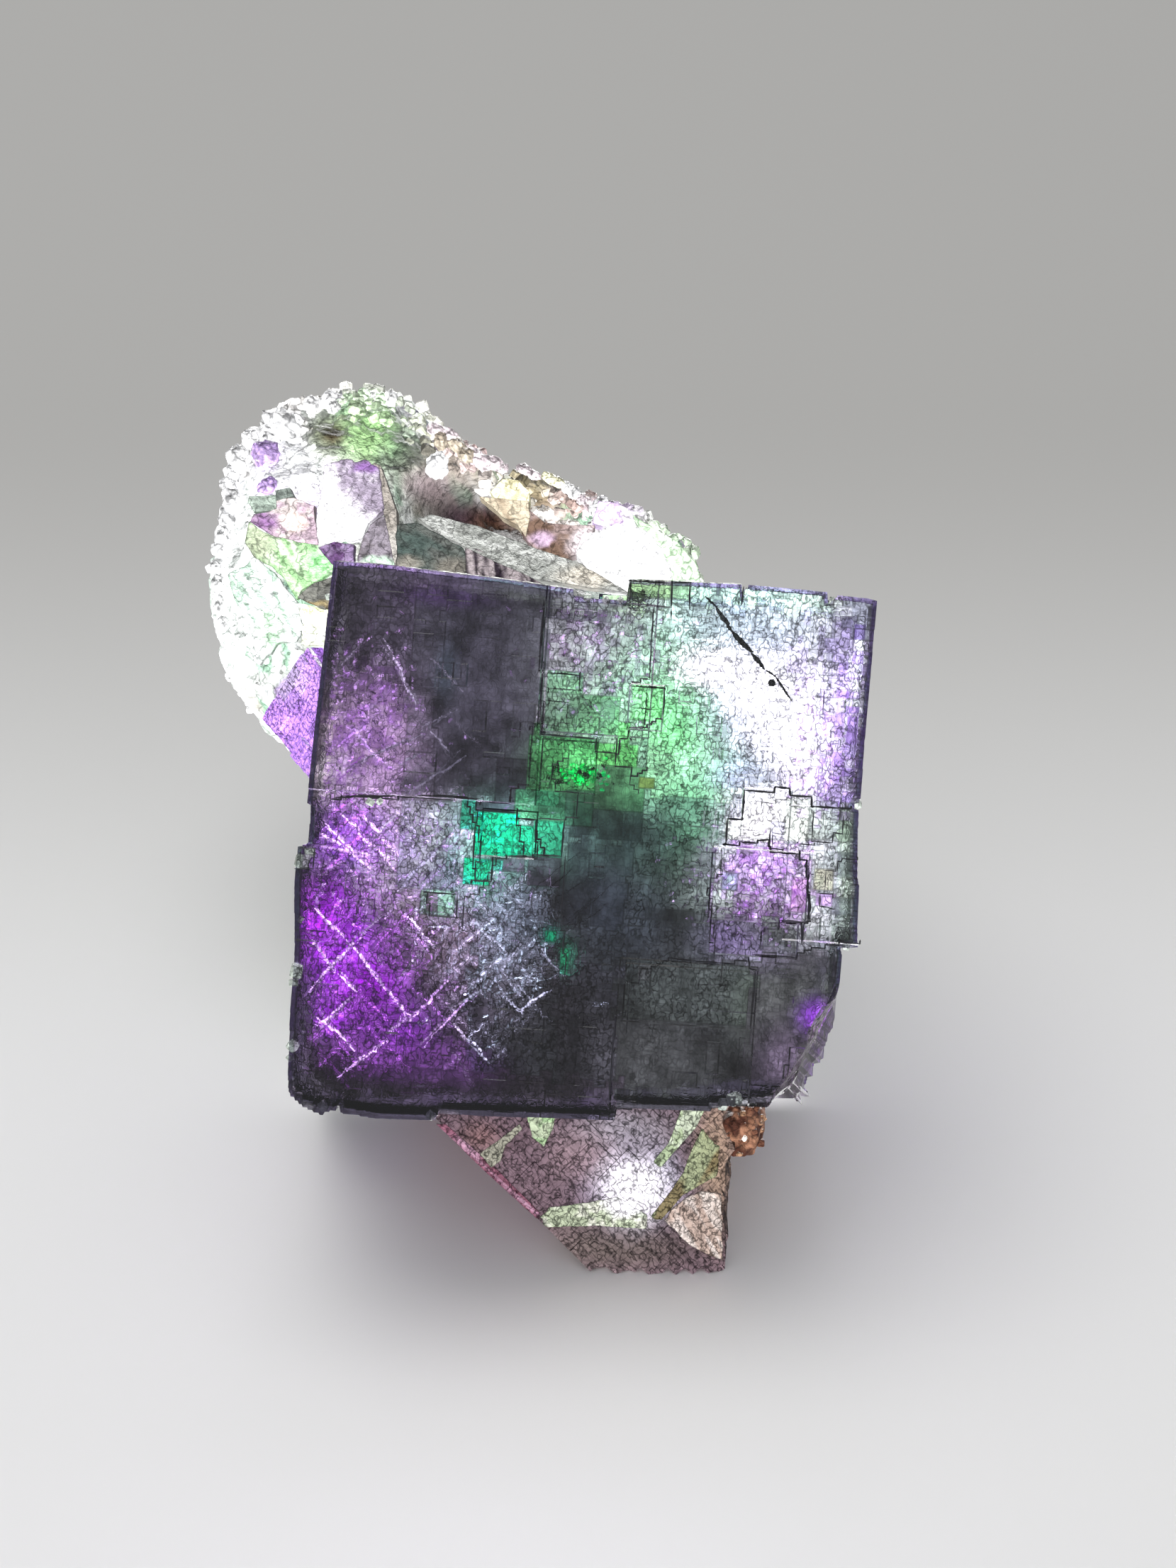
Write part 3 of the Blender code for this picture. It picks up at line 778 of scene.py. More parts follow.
def makeGrowthBands():
    # bands parallel to the sides, seen from beside and behind: noise stretched along each side, with painted
    # shade below
    part = growthBands
    points, cells, moved, quads, frontQuads = cubeBody(*part["lines"], *cubeSteps, part["seed"])[:5]
    moved[:, :2] *= part["drawnIn"]
    moved[:, 2] = moved[:, 2] * part["shortened"][0] + part["shortened"][1]
    x, y, z = cells.T
    along = np.where(np.abs(x) / 17.6 > np.abs(y) / 17.0, y, x)
    across = np.stack([along, z, np.zeros(len(z))], axis=1)
    violet = smooth(noise(across * np.array([0.5, 1.4, 1.0]), 3.2, 46), -0.25, 0.35)
    pale = smooth(noise(across * np.array([0.4, 1.8, 1.0]), 2.0, 47), 0.15, 0.55)
    green = smooth(noise(across, 6.0, 48), 0.2, 0.5)
    colour = filled(part["dark"], points)
    colour = paint(colour, violet, part["violet"])
    colour = paint(colour, green, part["green"], 0.8)
    colour = paint(colour, pale, part["pale"], 0.8)
    # darker towards the front, and painted shade towards the underside, which the light from behind would
    # otherwise make glow
    colour *= ((1.0 - 0.7 * smooth(z, -3.5, -0.5)) * (1.0 - 0.85 * smooth(-y, 16.0, 17.2)))[:, None]
    s = Shader("growthBands")
    speckle = s.noise(s.position(), 1.3, 4.0, 0.7)
    shade = s.shade(s.attribute("glow"), s.spread(speckle, 0.34, 0.64, 0.35, 1.0))
    s.surface(s.blend(0.35, s.skin(shade, 0.7), s.milk(s.shade(shade, 0.34))))
    makePiece("growth_bands", inCube(behindChip(moved)), quads[2 * frontQuads:], s.material,
              {"glow": colour})


makeGrowthBands()


def hazyShader(name, turn, haze, roughness, etchScale=1.0):
    # clear crystal with a share of milky haze that passes light on, both tinted by the piece's zones
    s = Shader(name)
    etched = etchedLines(s, turn, etchScale)
    colour = s.shade(s.attribute("zones"), etched)
    clear = s.crystal(colour, roughness, etched, 0.4, (0.80, 0.74, 0.86, 1.0))
    s.surface(s.blend(haze, clear, s.milk(s.shade(colour, fluorite["milk"]))))
    return s.material


def stoneShader(name, haze, roughness, grain):
    # granular mineral: a rough skin over a body that passes part of the light from behind
    s = Shader(name)
    fine = s.noise(s.position(), grain, 4.0, 0.65)
    winding = s.noise(s.position(), 0.42 * grain, 2.0, 0.5)
    lines = s.spread((winding - 0.5).absolute(), 0.0, 0.035, 0.45, 1.0)
    colour = s.shade(s.attribute("zones"), s.spread(fine, 0.32, 0.62, 0.55, 1.0) * lines)
    normal = s.bump(fine, 0.7, 0.0004)
    skin = s.skin(colour, roughness, {"Normal": normal})
    s.surface(s.blend(haze, skin, s.milk(s.shade(colour, fluorite["milk"]), {"Normal": normal})))
    return s.material


def spotsOn(points, colour, spots):
    # soft coloured spots placed by x and y across the crystal frame: middle, radii, colour, strength
    for x, y, radiusX, radiusY, value, strength in spots:
        within = blob(points[:, 0], points[:, 1], x, y, radiusX, radiusY, 3.0)
        colour = paint(colour, within, value, strength)
    return colour


def steppedBox(low, high, lines, plates, sunk, rng):
    # box on doubled lines with random small plates on all six sides; plates are count, size, height and,
    # for the two directions across each side, their ranges
    points, cells, quads, _ = boxGrid(lines)
    sign = np.where(points <= low + 1e-6, -1.0, np.where(points >= high - 1e-6, 1.0, 0.0))
    count, size, height, ranges = plates
    for axis in range(3):
        first, second = cells[:, (axis + 1) % 3], cells[:, (axis + 2) % 3]
        steps = platesOn(first, second, smallPlates(*ranges[axis], count, size, height, rng))
        points[:, axis] += sign[:, axis] * (steps - sunk)
    return points, cells, quads


# Corner cube grown into the back: a corner, three edge directions, lengths along them, and its colours.
cornerCube = {
    "corner": (-21.9, 8.3, -18.5),
    "edges": ((0.51, 0.733, 0.449), (0.55, -0.679, 0.484), (0.66, 0.0, -0.75)),
    "lengths": (6.5, 9.5, 9.0),
    "trim": ((-18.8, 7.8, -18.3), (-17.0, 7.0, -18.0), (0.998, 0.07, 0.0)),  # centre, point, normal
    "tint": (0.42, 0.24, 0.62),
    "spots": [(-20.2, 11.2, 1.6, 1.5, (0.5, 0.46, 0.56), 0.8),
              (-19.0, 6.5, 1.8, 2.4, (0.48, 0.26, 0.8), 0.9)],
    "plates": (60, 1.4, 0.12),
    "sunk": 0.1,
}


def makeCornerCube():
    part = cornerCube
    rng = np.random.default_rng(53)
    lengths = np.array(part["lengths"])
    lines = [growthLines(0.0, length, [], max(6, int(length / 0.75)), rng, 0.025) for length in lengths]
    ranges = [((0, lengths[(axis + 1) % 3]), (0, lengths[(axis + 2) % 3])) for axis in range(3)]
    points, cells, quads = steppedBox(0.0, lengths, lines, (*part["plates"], ranges), part["sunk"], rng)
    placed = fromCorner(points, part["corner"], part["edges"])
    placed = cutTowards(placed, part["trim"][0], [part["trim"][1:]])
    zones = filled(part["tint"], placed)
    zones = spotsOn(fromCorner(cells, part["corner"], part["edges"]), zones, part["spots"])
    zones *= (0.75 + 0.5 * lattice(np.floor(cells / 1.3), 53))[:, None]
    axes = np.array([np.array(edge) / np.linalg.norm(edge) for edge in part["edges"]])
    turn = (Matrix(axes.tolist()) @ Matrix.Rotation(-stance["tilt"], 3, "X")).to_euler()
    material = hazyShader("corner_cubeFluorite", tuple(turn), 0.60, 0.25, 1.2)
    makePiece("corner_cube", placed, quads, material, {"zones": np.clip(zones, 0, 1)})


makeCornerCube()


# Lower cube: turned an eighth of a turn, broken at its right end, cleaved off flat underneath.
lowerCube = {
    "low": (-20.0, -27.2, -38.0),
    "high": (4.0, 4.0, -12.0),
    "turn": math.radians(45.0),
    "middle": (3.0, -18.5, -22.0),
    "broken": ((9.8, -24.0, -20.0), (0.995, -0.08, 0.02)),
    "covered": ((0.0, -16.2, 0.0), (0.07, 0.998, 0.0)),
    "plates": (260, 1.3, 0.07, [((-27, 4), (-38, 4))] * 3),
    "sunk": 0.15,
    "tint": (0.100, 0.070, 0.078),
    "spots": [(-6.8, -19.7, 1.4, 1.0, (0.15, 0.09, 0.085), 0.9),
              (2.8, -19.4, 3.4, 1.6, (0.2, 0.19, 0.2), 0.9),
              (5.2, -22.6, 1.2, 1.8, (0.3, 0.33, 0.36), 0.8),
              (9.0, -21.0, 1.4, 5.0, (0.26, 0.19, 0.13), 0.85),
              (2.0, -27.0, 5.0, 1.6, (0.11, 0.09, 0.075), 0.8),
              # painted light: a pale halo round the hot spot where the light from behind comes through
              (3.4, -22.9, 3.2, 2.6, (0.3, 0.26, 0.34), 0.8),
              (0.0, -21.0, 2.2, 1.8, (0.22, 0.16, 0.165), 0.7),
              # painted light: the white hot spot where the light from behind comes through
              (3.5, -23.2, 2.1, 2.0, (1.0, 1.0, 1.0), 1.0)],
}


def makeLowerCube():
    part = lowerCube
    rng = np.random.default_rng(61)
    low, high = np.array(part["low"]), np.array(part["high"])
    lines = [growthLines(low[axis], high[axis], [], 44, rng) for axis in range(3)]
    points, cells, quads = steppedBox(low, high, lines, part["plates"], part["sunk"], rng)
    placed = rolled(points, part["turn"])
    placed = cutTowards(placed, part["middle"], [part["broken"]], 0.35, 65)
    placed = cutTowards(placed, part["middle"], [ground, part["covered"]])
    zones = spotsOn(placed, filled(part["tint"], placed), part["spots"])
    zones *= (0.88 + 0.24 * lattice(np.floor(cells / 1.6), 67))[:, None]
    turn = (Matrix.Rotation(-part["turn"], 3, "Z") @ Matrix.Rotation(-stance["tilt"], 3, "X")).to_euler()
    material = hazyShader("lowerCubeFluorite", tuple(turn), 0.68, 0.2)
    makePiece("lower_cube", placed, quads, material, {"zones": np.clip(zones, 0, 1)})


makeLowerCube()


white = (0.95, 0.95, 0.96)

# Blocks grown on the back: outline, front depth, lean across and up, colour, second colour, streak
# direction in degrees and streak width (0 for patches), then soft spots.
# painted light: the white spots, and the blocks white all over, are where the light from behind blows out
backBlocks = [
    ([(-17.8, 25.8), (-17.2, 26.1), (-15.9, 26.3), (-15.7, 26.0), (-14.7, 26.1), (-14.0, 25.5),
      (-13.6, 22.7), (-14.6, 21.9), (-15.2, 20.6), (-16.6, 20.6), (-17.1, 20.4), (-18.2, 20.1),
      (-18.3, 22.7), (-17.9, 24.2)], -22.6, 0.1, -0.05, (0.4, 0.35, 0.43), (0.64, 0.59, 0.67), 20, 0.0,
     [(-17.3, 21.9, 1.7, 2.0, white, 1.0), (-15.4, 21.2, 1.4, 0.9, white, 0.9),
      (-17.6, 24.6, 0.7, 1.6, (0.8, 0.76, 0.84), 0.8), (-14.8, 25.7, 1.3, 0.5, (0.13, 0.06, 0.19), 0.9)]),
    ([(-14.4, 26.0), (-13.9, 25.8), (-12.8, 22.7), (-12.7, 19.0), (-13.3, 19.0), (-13.8, 23.6)], -22.9, 0.0,
     0.0, (0.4, 0.37, 0.34), (0.52, 0.5, 0.47), 100, 0.35, []),
    ([(-15.5, 19.0), (-15.5, 19.5), (-15.2, 20.6), (-14.6, 21.7), (-13.6, 22.3), (-13.1, 19.8),
      (-12.9, 18.6), (-14.0, 18.4)], -22.8, 0.15, 0.1, (0.32, 0.29, 0.33), (0.2, 0.18, 0.2), 60, 0.0,
     [(-14.0, 18.9, 1.2, 0.5, (0.4, 0.56, 0.42), 0.9)]),
    ([(-18.2, 20.1), (-17.1, 20.5), (-15.7, 20.3), (-15.7, 19.0), (-17.1, 18.9), (-17.3, 19.0)], -22.5, 0.0,
     0.1, (0.17, 0.1, 0.21), (0.34, 0.26, 0.4), 30, 0.0, []),
    ([(-23.0, 23.7), (-21.2, 23.8), (-21.1, 22.8), (-21.5, 22.7), (-22.7, 22.6), (-23.1, 23.3)], -23.6, 0.1,
     0.1, (0.42, 0.48, 0.43), (0.33, 0.38, 0.34), 10, 0.0, []),
    ([(-21.2, 24.1), (-20.2, 24.3), (-19.9, 23.7), (-21.1, 23.4)], -23.3, 0.0, 0.0, (0.17, 0.2, 0.18),
     (0.24, 0.27, 0.25), 0, 0.0, []),
    ([(-22.7, 22.5), (-21.5, 22.7), (-21.4, 22.8), (-21.1, 22.8), (-21.1, 23.5), (-19.9, 23.6),
      (-18.5, 23.0), (-18.2, 20.3), (-19.6, 20.5), (-20.5, 20.8), (-21.2, 20.9), (-22.1, 21.4),
      (-23.0, 22.0)], -23.4, 0.15, 0.1, (0.52, 0.42, 0.48), (0.63, 0.57, 0.56), 20, 0.0,
     [(-22.0, 21.9, 1.1, 0.8, (0.16, 0.08, 0.19), 0.9), (-19.9, 21.9, 0.8, 0.6, (0.62, 0.48, 0.42), 0.8)]),
    ([(-23.0, 22.0), (-22.1, 21.3), (-21.2, 20.9), (-19.6, 20.5), (-18.2, 20.3), (-17.2, 19.4),
      (-16.9, 18.6), (-18.3, 17.8), (-19.4, 17.2), (-19.7, 16.5), (-20.5, 17.9), (-21.5, 18.9),
      (-22.7, 19.5), (-23.3, 20.6)], -23.2, 0.1, 0.15, (0.42, 0.64, 0.37), (0.68, 0.82, 0.62), -62, 0.3,
     [(-22.4, 20.6, 1.3, 1.5, (0.24, 0.27, 0.19), 0.95), (-18.2, 19.1, 0.9, 1.0, (0.24, 0.62, 0.24), 0.8)]),
    ([(-16.9, 18.2), (-18.6, 17.6), (-19.6, 16.7), (-18.6, 16.2), (-17.7, 15.8), (-16.9, 16.2)], -22.6, 0.0,
     0.1, (0.25, 0.25, 0.23), (0.18, 0.18, 0.17), 30, 0.0,
     [(-18.6, 16.2, 1.3, 0.25, (0.22, 0.17, 0.08), 0.8)]),
    ([(-19.6, 16.3), (-17.0, 15.7), (-17.0, 13.3), (-19.4, 13.4), (-19.3, 14.8)], -23.0, 0.0, 0.1,
     (0.9, 0.93, 0.8), white, 0, 0.0, [(-18.4, 15.8, 1.4, 0.6, (0.62, 0.7, 0.36), 0.8)]),
    ([(-23.8, 18.7), (-22.7, 19.5), (-21.8, 18.9), (-20.8, 17.8), (-19.7, 16.4), (-19.3, 14.6),
      (-19.7, 13.7), (-21.2, 13.4), (-22.4, 12.0), (-23.4, 12.8), (-23.0, 14.8), (-24.0, 16.4),
      (-24.6, 18.3)], -24.4, 0.1, 0.1, (0.92, 0.96, 0.94), (0.52, 0.66, 0.56), -64, 0.3,
     [(-21.6, 14.6, 1.0, 1.6, (0.3, 0.42, 0.3), 0.7)]),
    ([(-12.8, 21.7), (-11.3, 21.8), (-9.8, 21.0), (-8.1, 20.0), (-7.9, 17.6), (-10.8, 17.8), (-12.8, 18.2)],
     -22.4, 0.1, 0.1, (0.1, 0.13, 0.12), (0.15, 0.16, 0.15), -30, 0.5,
     [(-12.2, 19.0, 1.3, 0.5, (0.15, 0.14, 0.12), 0.9), (-9.0, 18.7, 1.2, 0.9, (0.11, 0.1, 0.085), 0.8)]),
    ([(-8.1, 20.1), (-7.1, 20.0), (-5.7, 19.0), (-4.0, 18.3), (-2.6, 17.5), (-4.0, 17.0), (-7.9, 17.5)],
     -22.3, 0.1, 0.1, (0.37, 0.33, 0.34), (0.045, 0.035, 0.045), 94, 0.22, []),
    ([(-11.4, 22.2), (-10.3, 22.4), (-7.2, 21.6), (-3.3, 20.1), (-0.1, 19.0), (2.4, 17.5), (3.3, 16.9),
      (0.4, 17.3), (-3.3, 17.9), (-6.1, 19.2), (-7.8, 20.0), (-9.6, 20.8)], -22.2, 0.0, -0.2,
     (0.42, 0.43, 0.41), (0.54, 0.55, 0.53), -24, 0.5, [(0.6, 18.1, 2.4, 0.8, (0.36, 0.33, 0.28), 0.85)]),
    ([(-7.1, 23.7), (-3.7, 23.4), (-3.6, 22.2), (-3.9, 21.0), (-4.5, 21.8), (-5.5, 22.3), (-6.2, 23.0)],
     -24.2, 0.0, 0.3, (0.56, 0.5, 0.4), (0.3, 0.24, 0.18), -50, 0.4, []),
    ([(-6.4, 24.1), (-5.5, 25.0), (-4.4, 24.9), (-3.6, 24.1), (-3.7, 23.3), (-5.7, 23.3)], -25.0, 0.0, 0.3,
     (0.86, 0.84, 0.62), (0.7, 0.66, 0.46), 0, 0.0, []),
    ([(-3.7, 22.9), (-2.6, 22.0), (-0.9, 21.8), (0.9, 21.8), (0.3, 20.0), (-1.5, 19.4), (-3.4, 20.2),
      (-4.2, 21.2)], -25.4, 0.0, 0.3, (0.2, 0.14, 0.11), (0.34, 0.27, 0.26), -40, 0.0,
     [(-2.8, 20.9, 0.9, 0.5, (0.3, 0.22, 0.3), 0.9), (0.2, 20.6, 1.2, 1.2, (0.56, 0.5, 0.53), 0.8)]),
    ([(-0.4, 19.8), (0.7, 21.2), (2.4, 21.8), (4.1, 21.6), (5.2, 20.6), (6.2, 19.0), (6.2, 17.0),
      (3.3, 16.4), (1.5, 17.2)], -24.6, 0.0, 0.3, white, white, 0, 0.0, []),
    ([(0.7, 22.0), (1.2, 23.5), (2.4, 23.4), (3.4, 22.9), (4.0, 21.4), (2.4, 21.5)], -26.0, 0.0, 0.3,
     (0.66, 0.54, 0.76), (0.88, 0.82, 0.92), 40, 0.0, []),
    ([(3.1, 22.9), (5.1, 21.6), (6.7, 20.7), (7.9, 19.3), (8.5, 17.4), (6.6, 16.8), (5.8, 19.0),
      (4.6, 20.9)], -26.4, 0.2, 0.3, (0.58, 0.74, 0.55), (0.82, 0.9, 0.8), -50, 0.4, []),
]

# Growth plates on the lower cube's front, given the same way.
lowerPlates = [
    ([(-5.5, -19.9), (-4.1, -18.8), (-3.9, -19.1), (-5.1, -20.3), (-5.4, -21.3), (-6.0, -21.7),
      (-6.8, -20.8)], -11.85, 0.0, 0.0, (0.44, 0.45, 0.36), (0.56, 0.56, 0.46), 50, 0.0, []),
    ([(-3.7, -18.0), (-1.7, -17.9), (-1.9, -19.2), (-2.5, -20.3), (-3.3, -19.7)], -11.85, 0.0, 0.0,
     (0.44, 0.62, 0.36), (0.6, 0.7, 0.5), 60, 0.0, []),
    ([(-2.8, -25.0), (-2.1, -24.4), (0.2, -24.1), (2.4, -23.7), (4.4, -24.9), (4.3, -25.8), (1.0, -25.6),
      (-2.3, -25.7)], -11.9, 0.0, 0.0, (0.56, 0.64, 0.46), (0.78, 0.82, 0.68), 15, 0.0,
     # painted light: the white spot is part of the same hot spot where the light from behind comes through
     [(3.0, -24.2, 1.4, 0.8, white, 0.9)]),
    ([(6.8, -17.4), (8.4, -17.4), (7.6, -19.1), (6.5, -20.3), (5.3, -21.7), (4.8, -21.3), (5.8, -20.1)],
     -11.8, 0.0, 0.0, (0.48, 0.58, 0.38), (0.62, 0.7, 0.54), 45, 0.0, []),
    ([(8.0, -19.2), (9.2, -20.3), (9.0, -22.3), (6.8, -23.5), (5.3, -25.2), (4.6, -25.0), (5.8, -23.5),
      (6.8, -22.0), (7.3, -20.6)], -11.85, 0.0, 0.0, (0.44, 0.5, 0.32), (0.32, 0.28, 0.16), 55, 0.5, []),
    ([(6.5, -24.0), (8.0, -23.3), (9.3, -23.5), (9.4, -27.9), (7.3, -27.0), (5.5, -25.2)], -11.9, 0.0, 0.0,
     (0.6, 0.5, 0.42), (0.8, 0.74, 0.66), -60, 0.3, []),
    ([(-9.6, -18.9), (-9.0, -18.9), (-5.9, -21.6), (-2.6, -24.9), (-2.9, -25.2), (-6.3, -22.1)], -11.95, 0.0,
     0.0, (0.34, 0.17, 0.22), (0.52, 0.34, 0.42), -42, 0.3, []),
]


def makeBlocks(name, blocks, depth, material, seed):
    # each block: rings from its middle out to its outline make the front, then walls run back and close
    corners, reach = 88, np.concatenate([np.linspace(0.0, 1.0, 19)[1:-1], [0.955, 1.0]])
    rings, walls = len(reach), 5
    allPoints, allFaces, allColours, offset = [], [], [], 0
    for outline, front, leanX, leanY, colour, other, streakTurn, streakWidth, spots in blocks:
        edge = np.array(outline, dtype=float)
        closed = np.concatenate([edge, edge[:1]])
        if np.sum(closed[:-1, 0] * closed[1:, 1] - closed[1:, 0] * closed[:-1, 1]) < 0:
            closed = closed[::-1]
        run = np.concatenate([[0.0], np.cumsum(np.hypot(*np.diff(closed, axis=0).T))])
        at = np.linspace(0.0, run[-1], corners, endpoint=False)
        edge = np.stack([np.interp(at, run, closed[:, axis]) for axis in (0, 1)], axis=1)
        middle = edge.mean(axis=0)
        jag = np.concatenate([edge, np.full((corners, 1), front)], axis=1)
        ragged = 1.0 + 0.045 * np.round(2.0 * noise(jag, 0.5, seed)) / 2.0
        edge = middle + (edge - middle) * ragged[:, None]
        flat = (middle + (edge - middle)[None] * reach[:, None, None]).reshape(-1, 2)
        flat = np.concatenate([flat, np.tile(edge, (walls, 1)), [middle], [middle]])
        level = front + leanX * (flat[:, 0] - middle[0]) + leanY * (flat[:, 1] - middle[1])
        bumps = np.concatenate([flat, np.full((len(flat), 1), front)], axis=1)
        steps = 0.05 * np.round(3.0 * noise(bumps, 0.8, seed + 1)) / 3.0
        level += steps + 0.03 * noise(bumps, 0.3, seed + 2)
        back = np.zeros(len(flat))
        back[rings * corners:-2] = np.repeat(np.arange(1, walls + 1) / walls, corners) * depth
        back[-1] = depth
        points = np.concatenate([flat, (level - back)[:, None]], axis=1)
        turn = math.radians(streakTurn)
        along = flat[:, 0] * math.cos(turn) + flat[:, 1] * math.sin(turn)
        aside = flat[:, 1] * math.cos(turn) - flat[:, 0] * math.sin(turn)
        if streakWidth > 0:
            pattern = noise(np.stack([aside / streakWidth, along * 0.5, bumps[:, 2]], axis=1), 1.0, seed + 3)
        else:
            pattern = noise(bumps, 0.8, seed + 3) + 0.6 * noise(bumps, 0.35, seed + 4)
        shades = paint(filled(colour, flat), smooth(pattern, -0.15, 0.4), other)
        shades = shades ** 1.25 * 0.62
        wobble = 0.25 * noise(bumps, 0.5, seed + 5)
        for x, y, radiusX, radiusY, value, strength in spots:
            within = blob(flat[:, 0] + wobble, flat[:, 1] - wobble, x, y, radiusX, radiusY, 4.0)
            shades = paint(shades, within, value, strength)
        rim = np.zeros(len(flat))
        rim[(rings - 1) * corners:rings * corners] = 0.65
        rim[rings * corners:-2] = 0.4
        shades *= (1.0 - rim)[:, None]
        allPoints.append(points)
        allFaces.append(ringFaces(rings + walls, corners) + offset)
        allColours.append(shades)
        offset += len(points)
    makePiece(name, np.concatenate(allPoints), np.concatenate(allFaces), material,
              {"zones": np.clip(np.concatenate(allColours), 0, 1)})


blockStone = stoneShader("blockFluorite", 0.84, 0.30, 2.2)
makeBlocks("back_blocks", backBlocks, 6.5, blockStone, 111)
makeBlocks("lower_plates", lowerPlates, 0.7, hazyShader("lowerPlateFluorite", (0.0, 0.0, 0.5), 0.7, 0.2),
           112)


# Massive back: a squashed round body within a listed outline, stepped and grained, hollow in front.
backMass = {
    "middle": (-8.5, 8.0, -33.0),
    "halfDepth": 10.0,
    "frontShare": 0.86,
    "outline": [(8.5, 18.3), (6.7, 21.1), (3.1, 23.4), (-0.5, 23.9), (-5.6, 26.5), (-10.7, 29.3),
                (-13.3, 31.5), (-17.6, 31.8), (-22.2, 30.0), (-24.2, 28.4), (-25.5, 24.7), (-26.3, 19.6),
                (-25.8, 13.7), (-24.5, 10.0), (-18.6, 5.0), (-17.8, -5.0), (-14.0, -13.0), (-4.0, -18.0),
                (6.0, -17.5), (10.0, -10.0), (11.0, 3.0), (10.5, 11.0)],
    "columns": 400,
    "rows": 150,
    "hollows": [(-8.0, 22.8, 3.9, 2.6, 8.0), (-3.2, 21.4, 4.2, 2.8, 8.0), (2.0, 19.4, 3.0, 2.2, 4.0),
                (-10.5, 19.5, 3.0, 3.0, 2.5)],
    "grey": (0.34, 0.36, 0.34),
    "green": (0.15, 0.28, 0.19),
    "pale": (0.62, 0.64, 0.64),
    "violet": (0.20, 0.11, 0.30),
    "brown": (0.20, 0.17, 0.13),
    "spots": [
        # painted light in the near-white spots, where the light from behind blows out, and painted shade in
        # the near-black ones down the front hollows
        (-20.8, 26.5, 4.2, 3.4, (0.92, 0.92, 0.94), 0.9),
        (-15.0, 28.4, 2.8, 2.4, (0.3, 0.5, 0.22), 0.95),
        (-18.2, 28.4, 1.5, 1.8, (0.12, 0.14, 0.08), 0.9),
        (-17.4, 28.2, 0.9, 0.8, (0.05, 0.03, 0.015), 0.9),
        (-12.2, 26.6, 1.6, 2.4, (0.12, 0.16, 0.11), 0.9),
        (-8.5, 26.4, 3.0, 1.8, (0.2, 0.165, 0.14), 0.9),
        (-3.0, 24.6, 3.4, 1.4, (0.16, 0.13, 0.08), 0.9),
        (-24.4, 20.5, 2.4, 5.0, (0.92, 0.95, 0.94), 0.85),
        (-25.0, 13.5, 1.8, 6.0, (0.86, 0.91, 0.88), 0.8),
        (-22.2, 26.9, 1.0, 1.1, (0.46, 0.3, 0.64), 0.9),
        (-22.0, 24.4, 0.8, 0.6, (0.58, 0.48, 0.74), 0.8),
        (-20.3, 26.7, 1.0, 0.7, (0.7, 0.72, 0.72), 0.5),
        (-11.0, 24.8, 2.2, 1.4, (0.15, 0.115, 0.125), 0.9),
        (-3.2, 22.2, 2.6, 1.8, (0.12, 0.07, 0.06), 0.9),
        (-8.4, 22.9, 3.6, 2.2, (0.022, 0.014, 0.018), 1.0),
        (-6.2, 22.4, 1.8, 1.6, (0.04, 0.018, 0.01), 0.9),
    ],
}


def makeBackMass():
    # radius from the outline's polar form times the sine of the fall, to a power; depth from its cosine;
    # then rough steps and ripples of noise, and soft hollows in front
    part = backMass
    middle = np.array(part["middle"])
    outline = np.array(part["outline"]) - middle[:2]
    angles = np.arctan2(outline[:, 1], outline[:, 0])
    order = np.argsort(angles)
    columns, rows = part["columns"], part["rows"]
    around = np.linspace(-math.pi, math.pi, columns, endpoint=False)
    radius = np.interp(around, angles[order], np.hypot(*outline.T)[order], period=2 * math.pi)
    fall = math.pi * np.arange(1, rows) / rows
    fallGrid, aroundGrid = np.meshgrid(fall, around, indexing="ij")
    spread = np.sin(fallGrid) ** 0.55 * radius[None, :]
    direction = np.stack([np.cos(aroundGrid) * spread, np.sin(aroundGrid) * spread,
                          part["halfDepth"] * np.cos(fallGrid)], axis=2).reshape(-1, 3)
    direction = np.concatenate([direction, [[0, 0, part["halfDepth"]], [0, 0, -part["halfDepth"]]]])
    direction[:, 2] *= np.where(direction[:, 2] > 0, part["frontShare"], 1.0)
    at = direction + middle
    blocks = np.round(noise(at, 4.2, 71) * 2.5) / 2.5 * 0.030
    blocks = blocks + np.round(noise(at, 1.9, 72) * 2.0) / 2.0 * 0.018
    ripple = 0.030 * noise(at, 3.0, 73) + 0.012 * noise(at, 0.9, 74) + 0.006 * noise(at, 0.45, 75)
    points = middle + direction * (0.985 + blocks + ripple)[:, None]
    front = smooth(direction[:, 2], -3.0, 3.0)
    for x, y, radiusX, radiusY, deep in part["hollows"]:
        points[:, 2] -= deep * front * blob(points[:, 0], points[:, 1], x, y, radiusX, radiusY, 3.0)
    points = cutTowards(points, middle, [ground])
    streak = noise(at * np.array([2.6, 0.5, 1.0]), 1.6, 76)
    patches = noise(at, 3.4, 77)
    colour = filled(part["grey"], points)
    colour = paint(colour, smooth(streak, 0.16, 0.36), part["green"], 0.8)
    colour = paint(colour, smooth(-streak, 0.20, 0.45), part["pale"], 0.9)
    colour = paint(colour, smooth(patches, 0.30, 0.42), part["violet"], 0.7)
    colour = paint(colour, smooth(-patches, 0.38, 0.5), part["brown"], 0.6)
    colour = spotsOn(points, colour, part["spots"])
    # painted shade: darker in the crevices of the steps and ripples
    creviceShade = smooth(-(blocks + ripple), 0.0, 0.05)
    colour *= (1.0 - 0.45 * creviceShade)[:, None]
    makePiece("back_mass", points, ringFaces(rows - 1, columns),
              stoneShader("granularFluorite", 0.87, 0.42, 1.6),
              {"zones": np.clip(colour, 0, 1)}, rounded=True)
    return points


backPoints = makeBackMass()


